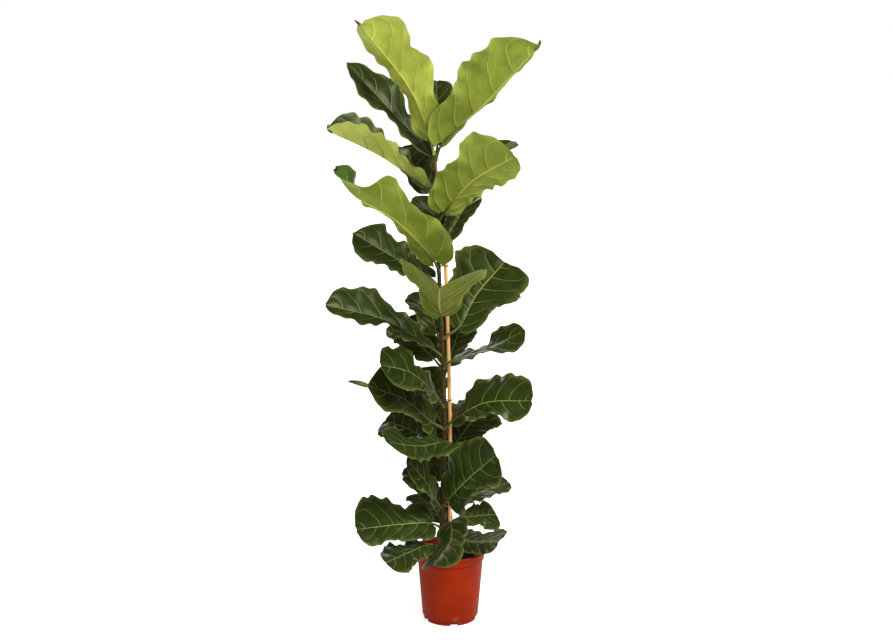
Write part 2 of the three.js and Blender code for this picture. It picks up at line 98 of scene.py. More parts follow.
def times(tree, first, second):
    return calc(tree, "MULTIPLY", first, second)


def between(tree, value, start, end, low=0.0, high=1.0):
    """A smooth step from low, where value is start, to high, where it is end."""
    given = {"Value": value, "From Min": start, "From Max": end, "To Min": low, "To Max": high}
    return result(tree, "ShaderNodeMapRange", given, interpolation_type="SMOOTHSTEP")


def blend(tree, share, first, second):
    """A colour between two colours, or sockets of them, by a share."""
    node = add(tree, "ShaderNodeMix", data_type="RGBA")
    for number, value in ((0, share), (6, first), (7, second)):
        if isinstance(value, bpy.types.NodeSocket):
            tree.links.new(value, node.inputs[number])
        else:
            node.inputs[number].default_value = value if number == 0 else (*value, 1)
    return node.outputs[2]


def noise(tree, where, scale, detail=2.0, stretch=(1, 1, 1)):
    """A noise value at a place, over the metre, stretched along its axes."""
    where = result(tree, "ShaderNodeMapping", {"Vector": where, "Scale": stretch})
    return result(tree, "ShaderNodeTexNoise", {"Vector": where, "Scale": scale, "Detail": detail})


def object_place(tree):
    return add(tree, "ShaderNodeTexCoord").outputs["Object"]


def new_material(name, **sockets):
    """A material with its Principled shader's constant sockets set; returns it, its tree, its shader
    and the place on the object that it is read at."""
    material = bpy.data.materials.new(name)
    material.use_nodes = True
    tree = material.node_tree
    shader = tree.nodes["Principled BSDF"]
    for socket, value in sockets.items():
        shader.inputs[socket.replace("_", " ")].default_value = value
    return material, tree, shader, object_place(tree)


def wire(tree, shader, colour=None, roughness=None, height=None, depth=0.0004, strength=0.5):
    """Links a material's colour, roughness and relief to its shader."""
    for socket, source in (("Base Color", colour), ("Roughness", roughness)):
        if source is not None:
            tree.links.new(source, shader.inputs[socket])
    if height is not None:
        bump = add(tree, "ShaderNodeBump", {"Strength": strength, "Distance": depth, "Height": height})
        tree.links.new(bump.outputs[0], shader.inputs["Normal"])


def parts(tree, vector):
    """The three numbers of a vector socket."""
    return add(tree, "ShaderNodeSeparateXYZ", {0: vector}).outputs


def placed(name, data):
    """A new object of the scene, with its mesh, lamp or camera."""
    thing = bpy.data.objects.new(name, data)
    bpy.context.scene.collection.objects.link(thing)
    return thing


def new_mesh(name, points, faces, edges=()):
    mesh = bpy.data.meshes.new(name)
    mesh.from_pydata(points, edges, faces)
    return mesh


def put(name, mesh, node):
    """A finished piece of the scene that stands for a solid of the frame."""
    return settle(placed(name, mesh), node)


def settle(piece, node):
    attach(piece, "root")
    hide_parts(node)
    return piece


def plain_mesh(piece):
    """The piece's mesh as its modifiers leave it, which are then removed."""
    graph = bpy.context.evaluated_depsgraph_get()
    finished = piece.evaluated_get(graph)
    mesh = bpy.data.meshes.new_from_object(finished, preserve_all_data_layers=True, depsgraph=graph)
    piece.modifiers.clear()
    piece.data = mesh
    return mesh


def turned(name, profile, sides, lift=None):
    """A closed body turned about Z from (radius, height) points in mm, from the axis round to it.
    lift(x, y, z) may raise a point of it."""
    inner = profile[1:-1]
    points = [(0, 0, profile[0][1])]
    for radius, height in inner:
        for side in range(sides):
            angle = 2 * math.pi * side / sides
            points.append((radius * math.cos(angle), radius * math.sin(angle), height))
    points.append((0, 0, profile[-1][1]))
    if lift:
        points = [(x, y, z + lift(x, y, z)) for x, y, z in points]
    faces = []
    for side in range(sides):
        after = (side + 1) % sides
        faces.append((0, 1 + after, 1 + side))
        for ring in range(len(inner) - 1):
            low, high = 1 + ring * sides, 1 + (ring + 1) * sides
            faces.append((low + side, low + after, high + after, high + side))
        last = 1 + (len(inner) - 1) * sides
        faces.append((last + side, last + after, len(points) - 1))
    return new_mesh(name, [tuple(MM * value for value in point) for point in points], faces)


def notch_cutter():
    """One mesh of all the drain notches: tapered blocks that reach in through the foot."""
    low, high = NOTCH_HALF_WIDTHS
    section = [(-low, -1), (low, -1), (high, NOTCH_TOP), (-high, NOTCH_TOP)]
    points, faces = [], []
    for number in range(NOTCH_COUNT):
        turn = math.radians(NOTCH_TURN + number * 360 / NOTCH_COUNT)
        out, side = (math.cos(turn), math.sin(turn)), (-math.sin(turn), math.cos(turn))
        start = len(points)
        for reach in (FOOT_RADIUS - NOTCH_REACH, FOOT_RADIUS + NOTCH_REACH):
            for across, height in section:
                x, y = (reach * out[axis] + across * side[axis] for axis in (0, 1))
                points.append((MM * x, MM * y, MM * height))
        faces += [tuple(start + corner for corner in quad) for quad in (
            (3, 2, 1, 0), (4, 5, 6, 7), (0, 1, 5, 4), (1, 2, 6, 5), (2, 3, 7, 6), (3, 0, 4, 7))]
    return new_mesh("drain_notches", points, faces)


def banded(tree, colour, height, levels, fade, share, band):
    """A colour with bands of another round it at levels in mm. fade: how far from its level each band
    ends, and is full."""
    for level in levels:
        away = calc(tree, "ABSOLUTE", calc(tree, "SUBTRACT", height, level * MM))
        shown = between(tree, away, fade[0] * MM, fade[1] * MM, 0.0, share)
        colour = blend(tree, shown, colour, band)
    return colour


def pot_plastic():
    material, tree, shader, place = new_material("pot_plastic", Roughness=0.5, Specular_IOR_Level=0.06)
    cloudy = noise(tree, place, 7.0, 3.0)
    drawn = noise(tree, place, 90.0, 3.0, (1, 1, 0.05))
    dusty = noise(tree, place, 34.0, 5.0)
    height = parts(tree, place)[2]
    base = blend(tree, between(tree, cloudy, 0.35, 0.68), PLASTIC_COLOUR, PLASTIC_SHADE)
    scuffed = times(tree, between(tree, dusty, 0.58, 0.8), between(tree, height, 0.05, 0.0))
    colour = blend(tree, times(tree, scuffed, 0.35), base, PLASTIC_SCUFF)
    # Painted shade: narrow dark bands where shadow falls in the grooves under the lip, under the band and at
    # the foot's step
    colour = banded(tree, colour, height, GROOVE_SHADE_HEIGHTS, (3, 0.8), 0.7, GROOVE_PAINTED_SHADE)
    roughness = between(tree, drawn, 0.3, 0.75, 0.4, 0.52)
    wire(tree, shader, colour, roughness, calc(tree, "ADD", drawn, dusty), 0.0002, 0.35)
    return material


lip_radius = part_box("pot")[1].x / MM
pot_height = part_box("pot")[1].z / MM
pot_profile = [
    (0, 1.5), (20, 1.5), (22, 0.6), (48, 0.6), (50, 0), (FOOT_RADIUS - 1, 0), (FOOT_RADIUS, 1),
    (FOOT_RADIUS, FOOT_TOP - 1), (80.4, 13), (87.5, 99), (94, 178), (97.4, 180), (98, 190), (98.5, 198.6),
    (100.5, 200), (lip_radius - 0.8, 201.4), (lip_radius, 202.6), (lip_radius, pot_height - 1.2),
    (lip_radius - 1.2, pot_height), (lip_radius - 3.6, pot_height), (lip_radius - 4.6, pot_height - 0.9),
    (95.3, 198), (91.8, 176), (78.3, 13), (73.8, POT_FLOOR), (0, POT_FLOOR),
]
pot = placed("nursery_pot", turned("nursery_pot", pot_profile, POT_SIDES))
cutter = placed("drain_notches", notch_cutter())
notching = pot.modifiers.new("notches", "BOOLEAN")
notching.object = cutter
notching.solver = "MANIFOLD"
rounding = pot.modifiers.new("round_edges", "BEVEL")
rounding.width = EDGE_ROUNDING * MM
rounding.segments = 2
rounding.limit_method = "ANGLE"
rounding.angle_limit = math.radians(28)
pot_mesh = plain_mesh(pot)
bpy.data.objects.remove(cutter)
pot_mesh.materials.clear()
pot_mesh.materials.append(pot_plastic())
pot_mesh.shade_smooth()
pot_mesh.set_sharp_from_angle(angle=math.radians(40))
settle(pot, "pot")

# ---- Potting soil ----
# Dark peat that fills the pot to below its lip, with loose crumbs lying on it.

SOIL_SIDES = 72
SOIL_RINGS = 22
SOIL_TOP = 186
SOIL_RADIUS = 90.6
PEAT_COLOUR = (0.012, 0.008, 0.006)
FIBRE_COLOUR = (0.055, 0.034, 0.02)
CRUMBS_PER_M2 = 80000
CRUMB_SIZES = (0.6 * MM, 2.6 * MM)
CRUMB_FORMS = (((0.7, 0.5, 0.4), (1.4, 1.0, 0.8)), ((0, 0, 0), (6.28, 6.28, 6.28)))
CRUMB_SEED = 4


def new_tree(name, inputs):
    """A node group that takes and gives a geometry; inputs are its other inputs' names and kinds."""
    tree = bpy.data.node_groups.new(name, "GeometryNodeTree")
    for socket, kind in {"Geometry": "Geometry", **inputs}.items():
        tree.interface.new_socket(socket, in_out="INPUT", socket_type="NodeSocket" + kind)
    tree.interface.new_socket("Geometry", in_out="OUTPUT", socket_type="NodeSocketGeometry")
    return tree, tree.nodes.new("NodeGroupInput").outputs


def grow(piece, tree, **values):
    """Runs a node group on the piece, with its inputs set, and keeps the mesh that it makes."""
    modifier = piece.modifiers.new(tree.name, "NODES")
    modifier.node_group = tree
    for item in tree.interface.items_tree:
        if item.in_out == "INPUT" and item.name in values:
            modifier[item.identifier] = values[item.name]
    return plain_mesh(piece)


def close_tree(tree, given, pieces, chosen=True):
    """Ends a node group: joins the pieces, and gives the chosen faces the finish."""
    both = result(tree, "GeometryNodeJoinGeometry", {0: pieces})
    real = result(tree, "GeometryNodeRealizeInstances", {"Geometry": both})
    done = result(tree, "GeometryNodeSetMaterial", {
        "Geometry": real, "Selection": chosen, "Material": given["Finish"]})
    tree.links.new(done, add(tree, "NodeGroupOutput").inputs[0])
    return tree


def crumbs_tree():
    """Small broken lumps, strewn over the faces that look up, and joined to what they lie on."""
    inputs = {"Density": "Float", "Smallest": "Float", "Largest": "Float", "Seed": "Int",
              "Finish": "Material"}
    tree, given = new_tree("crumbs", inputs)
    facing = parts(tree, result(tree, "GeometryNodeInputNormal"))[2]
    upward = result(tree, "FunctionNodeCompare", {0: facing, 1: 0.6}, operation="GREATER_THAN")
    strewn = result(tree, "GeometryNodeDistributePointsOnFaces", {
        "Mesh": given["Geometry"], "Selection": upward, "Density": given["Density"], "Seed": given["Seed"]})
    lump = result(tree, "GeometryNodeMeshIcoSphere", {"Radius": 1.0, "Subdivisions": 1})
    size = add(tree, "FunctionNodeRandomValue", {
        2: given["Smallest"], 3: given["Largest"], "Seed": given["Seed"]}, data_type="FLOAT").outputs[1]
    shape, turn = (result(tree, "FunctionNodeRandomValue", {
        0: low, 1: high, "Seed": given["Seed"]}, data_type="FLOAT_VECTOR") for low, high in CRUMB_FORMS)
    scale = result(tree, "ShaderNodeVectorMath", {0: shape, "Scale": size}, operation="SCALE")
    lumps = result(tree, "GeometryNodeInstanceOnPoints", {
        "Points": strewn, "Instance": lump, "Rotation": turn, "Scale": scale})
    return close_tree(tree, given, [lumps, given["Geometry"]])


def peat():
    material, tree, shader, place = new_material("potting_soil", Roughness=0.95, Specular_IOR_Level=0.25)
    lumps = noise(tree, place, 240.0, 4.0)
    fibres = noise(tree, place, 900.0, 2.0, (1, 0.2, 1))
    colour = blend(tree, between(tree, lumps, 0.5, 0.78), PEAT_COLOUR, FIBRE_COLOUR)
    wire(tree, shader, colour, between(tree, lumps, 0.3, 0.7, 0.8, 1.0),
         calc(tree, "ADD", lumps, fibres), 0.0012, 0.9)
    return material


def soil_relief(x, y, z):
    """Height in mm that the surface of the soil stands above or below its level."""
    if z < SOIL_TOP - 1:
        return 0
    heaps = 1.5 * math.sin(x / 11) * math.cos(y / 13) + 1.2 * math.sin((x + y) / 7)
    return heaps + 0.5 * math.sin(x / 3.1 + 2 * math.cos(y / 3.7))


soil_rings = [(SOIL_RADIUS * (1 - ring / SOIL_RINGS), SOIL_TOP) for ring in range(SOIL_RINGS + 1)]
soil_profile = [(0, 4.4), (73, 4.4), (77.9, 13.4), (91, 175.5), *soil_rings]
soil_mesh = turned("potting_soil", soil_profile, SOIL_SIDES, soil_relief)
soil = put("potting_soil", soil_mesh, "soil")
grow(soil, crumbs_tree(), Density=float(CRUMBS_PER_M2), Smallest=CRUMB_SIZES[0],
     Largest=CRUMB_SIZES[1], Seed=CRUMB_SEED, Finish=peat())

# ---- Bamboo cane ----
# A dried bamboo cane pushed into the soil beside the trunk, with the raised rings of its joints.

CANE_LINE = [(-4, 8, 30), (-1, 8, 560), (-14, 8, 1062)]
CANE_RADIUS = 5.2
CANE_JOINTS = (190, 455, 700, 925)
CANE_SIDES = 24
CANE_RINGS = 260
CANE_COLOUR = (0.85, 0.47, 0.17)
CANE_DARK = (0.5, 0.22, 0.065)
TURN_SAMPLES = 200


def rods_tree():
    """Round rods along the loose edges of a mesh, as thick as its rod_radius. Its faces stay."""
    tree, given = new_tree("rods", {"Sides": "Int", "Finish": "Material"})
    faces = result(tree, "GeometryNodeInputMeshEdgeNeighbors")
    loose = result(tree, "FunctionNodeCompare", {2: faces, 3: 0}, data_type="INT", operation="EQUAL")
    line = result(tree, "GeometryNodeMeshToCurve", {"Mesh": given["Geometry"], "Selection": loose})
    radius = result(tree, "GeometryNodeInputNamedAttribute", {"Name": "rod_radius"})
    ring = result(tree, "GeometryNodeCurvePrimitiveCircle", {"Resolution": given["Sides"], "Radius": 1.0})
    tube = result(tree, "GeometryNodeCurveToMesh", {
        "Curve": line, "Profile Curve": ring, "Scale": radius, "Fill Caps": True})
    marked = result(tree, "GeometryNodeStoreNamedAttribute", {
        "Geometry": tube, "Name": "on_rod", "Value": True}, data_type="BOOLEAN", domain="FACE")
    smooth = result(tree, "GeometryNodeSetShadeSmooth", {"Geometry": marked})
    blade = result(tree, "GeometryNodeDeleteGeometry", {"Geometry": given["Geometry"], "Selection": loose},
                   domain="EDGE")
    on_rod = result(tree, "GeometryNodeInputNamedAttribute", {"Name": "on_rod"}, data_type="BOOLEAN")
    return close_tree(tree, given, [smooth, blade], on_rod)


def read_line(places, steps, points):
    """Points of a line at any places, where steps are the places of the given ones."""
    return np.stack([np.interp(places, steps, points[:, axis]) for axis in range(3)], -1)


def smooth_line(points, count):
    """Points of the smooth curve that passes evenly through the given ones (centripetal)."""
    points = np.array(points, float)
    ends = (2 * points[0] - points[1], 2 * points[-1] - points[-2])
    padded = np.vstack([ends[0], points, ends[1]])
    share = np.linspace(0, len(points) - 1, count)
    first = np.minimum(share.astype(int), len(points) - 2)
    rest = (share - first)[:, None]
    a, b, c, d = (padded[first + step] for step in range(4))
    gap_a, gap_b, gap_c = (
        np.sqrt(np.linalg.norm(far - near, axis=1))[:, None] for near, far in ((a, b), (b, c), (c, d)))
    start = gap_b * ((b - a) / gap_a - (c - a) / (gap_a + gap_b) + (c - b) / gap_b)
    end = gap_b * ((c - b) / gap_b - (d - b) / (gap_b + gap_c) + (d - c) / gap_c)
    square, cube = rest ** 2, rest ** 3
    return (b * (2 * cube - 3 * square + 1) + c * (3 * square - 2 * cube)
            + start * (cube - 2 * square + rest) + end * (cube - square))


def even(points, shares):
    """Points at shares of the length of a line, and that length."""
    steps = np.concatenate([[0], np.cumsum(np.linalg.norm(np.diff(points, axis=0), axis=1))])
    wanted = np.asarray(shares) * steps[-1]
    return read_line(wanted, steps, points), steps[-1]


def rod_mesh(name, lines):
    """A mesh of loose edges in mm along lines of (points, radii, closed), for the rods tree. A line
    may end in two more numbers, the values of rod_share at its ends."""
    points, edges, radii, shares = [], [], [], []
    for line, thickness, closed, *ends in lines:
        start = len(points)
        points += [tuple(MM * value for value in point) for point in line]
        radii += [MM * value for value in thickness]
        shares += list(np.linspace(*(ends or (0, 1)), len(line)))
        edges += [(start + step, start + step + 1) for step in range(len(line) - 1)]
        if closed:
            edges.append((start + len(line) - 1, start))
    mesh = new_mesh(name, points, [], edges)
    give(mesh, "rod_radius", radii)
    give(mesh, "rod_share", shares)
    return mesh


def give(mesh, name, values):
    """Stores one number for each point of a mesh."""
    mesh.attributes.new(name, "FLOAT", "POINT").data.foreach_set("value", np.array(values, np.float32))


def bamboo():
    material, tree, shader, place = new_material("bamboo", Roughness=0.45, Specular_IOR_Level=0.5)
    fibres = noise(tree, place, 700.0, 3.0, (1, 1, 0.02))
    blotches = noise(tree, place, 28.0, 3.0, (1, 1, 0.35))
    height = parts(tree, place)[2]
    colour = blend(tree, between(tree, blotches, 0.4, 0.75), CANE_COLOUR, CANE_DARK)
    colour = blend(tree, between(tree, fibres, 0.45, 0.75, 0.0, 0.45), colour, CANE_DARK)
    colour = banded(tree, colour, height, CANE_JOINTS, (4, 0.5), 0.75, CANE_DARK)
    wire(tree, shader, colour, between(tree, fibres, 0.3, 0.7, 0.38, 0.6), fibres, 0.0003, 0.4)
    return material


def cane_radius(height):
    """Thickness of the cane at a height: it swells to a ring at each joint, with a groove above."""
    away = height - min(CANE_JOINTS, key=lambda joint: abs(joint - height))
    return CANE_RADIUS + 0.9 * math.exp(-(away / 3.5) ** 2) - 0.5 * math.exp(-((away - 5.5) / 2) ** 2)


rods = rods_tree()
cane_points = even(smooth_line(CANE_LINE, TURN_SAMPLES), np.linspace(0, 1, CANE_RINGS))[0]
cane_mesh = rod_mesh("bamboo_cane", [(cane_points, [cane_radius(point[2]) for point in cane_points], False)])
cane = put("bamboo_cane", cane_mesh, "cane")
grow(cane, rods, Sides=CANE_SIDES, Finish=bamboo())

# ---- Trunk ----
# One slim woody stem, brown below and green between its rings near the top. Each ring is the scar
# of a leaf, and the end is a pointed bud in a brown papery sheath.

TRUNK_LINE = [
    (-26, 0, 110), (-23, 0, 320), (-17, 0, 560), (-22, 0, 780), (-32, 0, 1015), (-40, 0, 1260),
    (-43, 0, 1345),
]
TRUNK_RADII = (8.6, 4.6)
TRUNK_SIDES = 28
TRUNK_RINGS = 620
RING_SPACING = 32
RING_SWELL = 1.0
BUD_LENGTH = 34
BARK_BROWN = (0.05, 0.027, 0.006)
BARK_GREEN = (0.06, 0.052, 0.008)
BARK_PALE = (0.14, 0.085, 0.026)
SHEATH_COLOUR = (0.2, 0.095, 0.03)

trunk_points, trunk_length = even(smooth_line(TRUNK_LINE, TURN_SAMPLES), np.linspace(0, 1, TRUNK_RINGS))


def trunk_at(height):
    """Point of the trunk's axis at a height in mm."""
    return read_line(height, trunk_points[:, 2], trunk_points)


def trunk_radius(share):
    along = share * trunk_length
    ring = abs((along / RING_SPACING + 0.5) % 1 - 0.5) * RING_SPACING
    swell = RING_SWELL * math.exp(-(ring / 2.2) ** 2) - 0.35 * math.exp(-((ring - 4) / 2) ** 2)
    bud = min(1, (trunk_length - along) / BUD_LENGTH)
    thickness = TRUNK_RADII[0] + (TRUNK_RADII[1] - TRUNK_RADII[0]) * share + swell
    return thickness * (0.12 + 0.88 * math.sqrt(bud))


def bark():
    material, tree, shader, place = new_material("bark", Roughness=0.75, Specular_IOR_Level=0.12)
    height = parts(tree, place)[2]
    ridges = noise(tree, place, 420.0, 4.0, (1, 1, 0.12))
    patches = noise(tree, place, 15.0, 2.0, (1, 1, 0.8))
    spots = noise(tree, place, 500.0, 1.0)
    greening = calc(tree, "ADD", patches, between(tree, height, 0.2, 1.3, -0.12, 0.22))
    colour = blend(tree, between(tree, greening, 0.5, 0.62), BARK_BROWN, BARK_GREEN)
    colour = blend(tree, between(tree, ridges, 0.5, 0.8, 0.0, 0.5), colour, BARK_PALE)
    ring = calc(tree, "PINGPONG", calc(tree, "SUBTRACT", height, 0.11), RING_SPACING * MM / 2)
    colour = blend(tree, between(tree, ring, 2.6 * MM, 0.8 * MM, 0.0, 0.8), colour, BARK_BROWN)
    colour = blend(tree, between(tree, spots, 0.68, 0.75, 0.0, 0.7), colour, BARK_PALE)
    colour = blend(tree, between(tree, height, 1.27, 1.30), colour, SHEATH_COLOUR)
    wire(tree, shader, colour, between(tree, ridges, 0.3, 0.7, 0.6, 0.85), ridges, 0.0006, 0.7)
    return material


trunk_shares = np.linspace(0, 1, TRUNK_RINGS)
trunk_mesh = rod_mesh("fig_trunk", [(trunk_points, [trunk_radius(share) for share in trunk_shares], False)])
trunk = put("fig_trunk", trunk_mesh, "trunk")
grow(trunk, rods, Sides=TRUNK_SIDES, Finish=bark())

# ---- Wire ties ----
# Three loops of thin plastic-coated wire that hold the trunk to the cane, their ends twisted.

TIE_HEIGHTS = (437, 643, 1026)
TIE_WIRE = 1.05
TIE_SIDES = 10
TIE_GAP = 0.4
TWIST_LENGTH = 9
TWIST_TURNS = 2.5
TWIST_RADIUS = 0.95
TWIST_WIRE = 0.85
TWIST_POINTS = 24
COATING_COLOUR = (0.008, 0.009, 0.011)
COATING_WORN = (0.03, 0.032, 0.034)


def tie_lines(height):
    """The loop round trunk and cane, and the two strands twisted together in front of it."""
    trunk_middle, cane_middle = trunk_at(height), read_line(height, cane_points[:, 2], cane_points)
    toward = math.atan2(*(cane_middle - trunk_middle)[[1, 0]])
    half_turn = np.radians(np.arange(-90, 91, 15))
    loop = []
    for middle, facing, radius in (
            (cane_middle, toward, CANE_RADIUS + 0.8 + TIE_GAP + TIE_WIRE),
            (trunk_middle, toward + math.pi, TRUNK_RADII[0] + 0.9 + TIE_GAP + TIE_WIRE)):
        for angle in facing + half_turn:
            loop.append((middle[0] + radius * math.cos(angle), middle[1] + radius * math.sin(angle), height))
    front = min(loop, key=lambda point: point[1])
    strands = []
    for side in (0, math.pi):
        strand = []
        for step in np.linspace(0, 1, TWIST_POINTS):
            turn = side + step * TWIST_TURNS * 2 * math.pi
            strand.append((front[0] + TWIST_RADIUS * math.cos(turn), front[1] - TWIST_LENGTH * step,
                           height + TWIST_RADIUS * math.sin(turn)))
        strands.append((strand, [TWIST_WIRE] * len(strand), False))
    return [(loop, [TIE_WIRE] * len(loop), True), *strands]


def tie_coating():
    material, tree, shader, place = new_material("tie_coating", Roughness=0.4, Specular_IOR_Level=0.5)
    worn = noise(tree, place, 600.0, 2.0)
    colour = blend(tree, between(tree, worn, 0.5, 0.75), COATING_COLOUR, COATING_WORN)
    wire(tree, shader, colour, between(tree, worn, 0.3, 0.7, 0.34, 0.55), worn, 0.0001, 0.3)
    return material


coating = tie_coating()
for number, height in enumerate(TIE_HEIGHTS, 1):
    name = f"wire_tie_{number}"
    tie = put(name, rod_mesh(name, tie_lines(height)), f"tie_{number}")
    grow(tie, rods, Sides=TIE_SIDES, Finish=coating)

# ---- Leaves ----
# Stiff leathery blades, fiddle-shaped with waved edges, on short stalks up the trunk. The ribs stand
# out below each blade and lie in grooves on top, where the blade bulges up between them.


def fig_leaf(start, rib, half, fold, roll, wave, **more):
    """One leaf in mm and degrees. start: height where the stalk leaves the trunk. rib: blade base, middle
    and tip of the midrib. half: half widths, left and right as seen from the trunk with the upper face up.
    fold: how far each half is raised. roll: how far the blade leans, at even steps. One number stands for
    alike values of these three. wave: height of the edge's waves, how many along the blade, and where the
    first begins. Then, where the leaf has them, bend: a point that the stalk goes round the cane by.
    lobes: how much the outline's lobes stand out, how many there are, and where the first begins. base,
    tip: how broad the ends are. curl: a curled tip's length, how far it turns and its greatest radius.
    age: its finish."""
    return {"start": start, "rib": rib, "half": half, "fold": fold, "roll": roll, "wave": wave, **more}


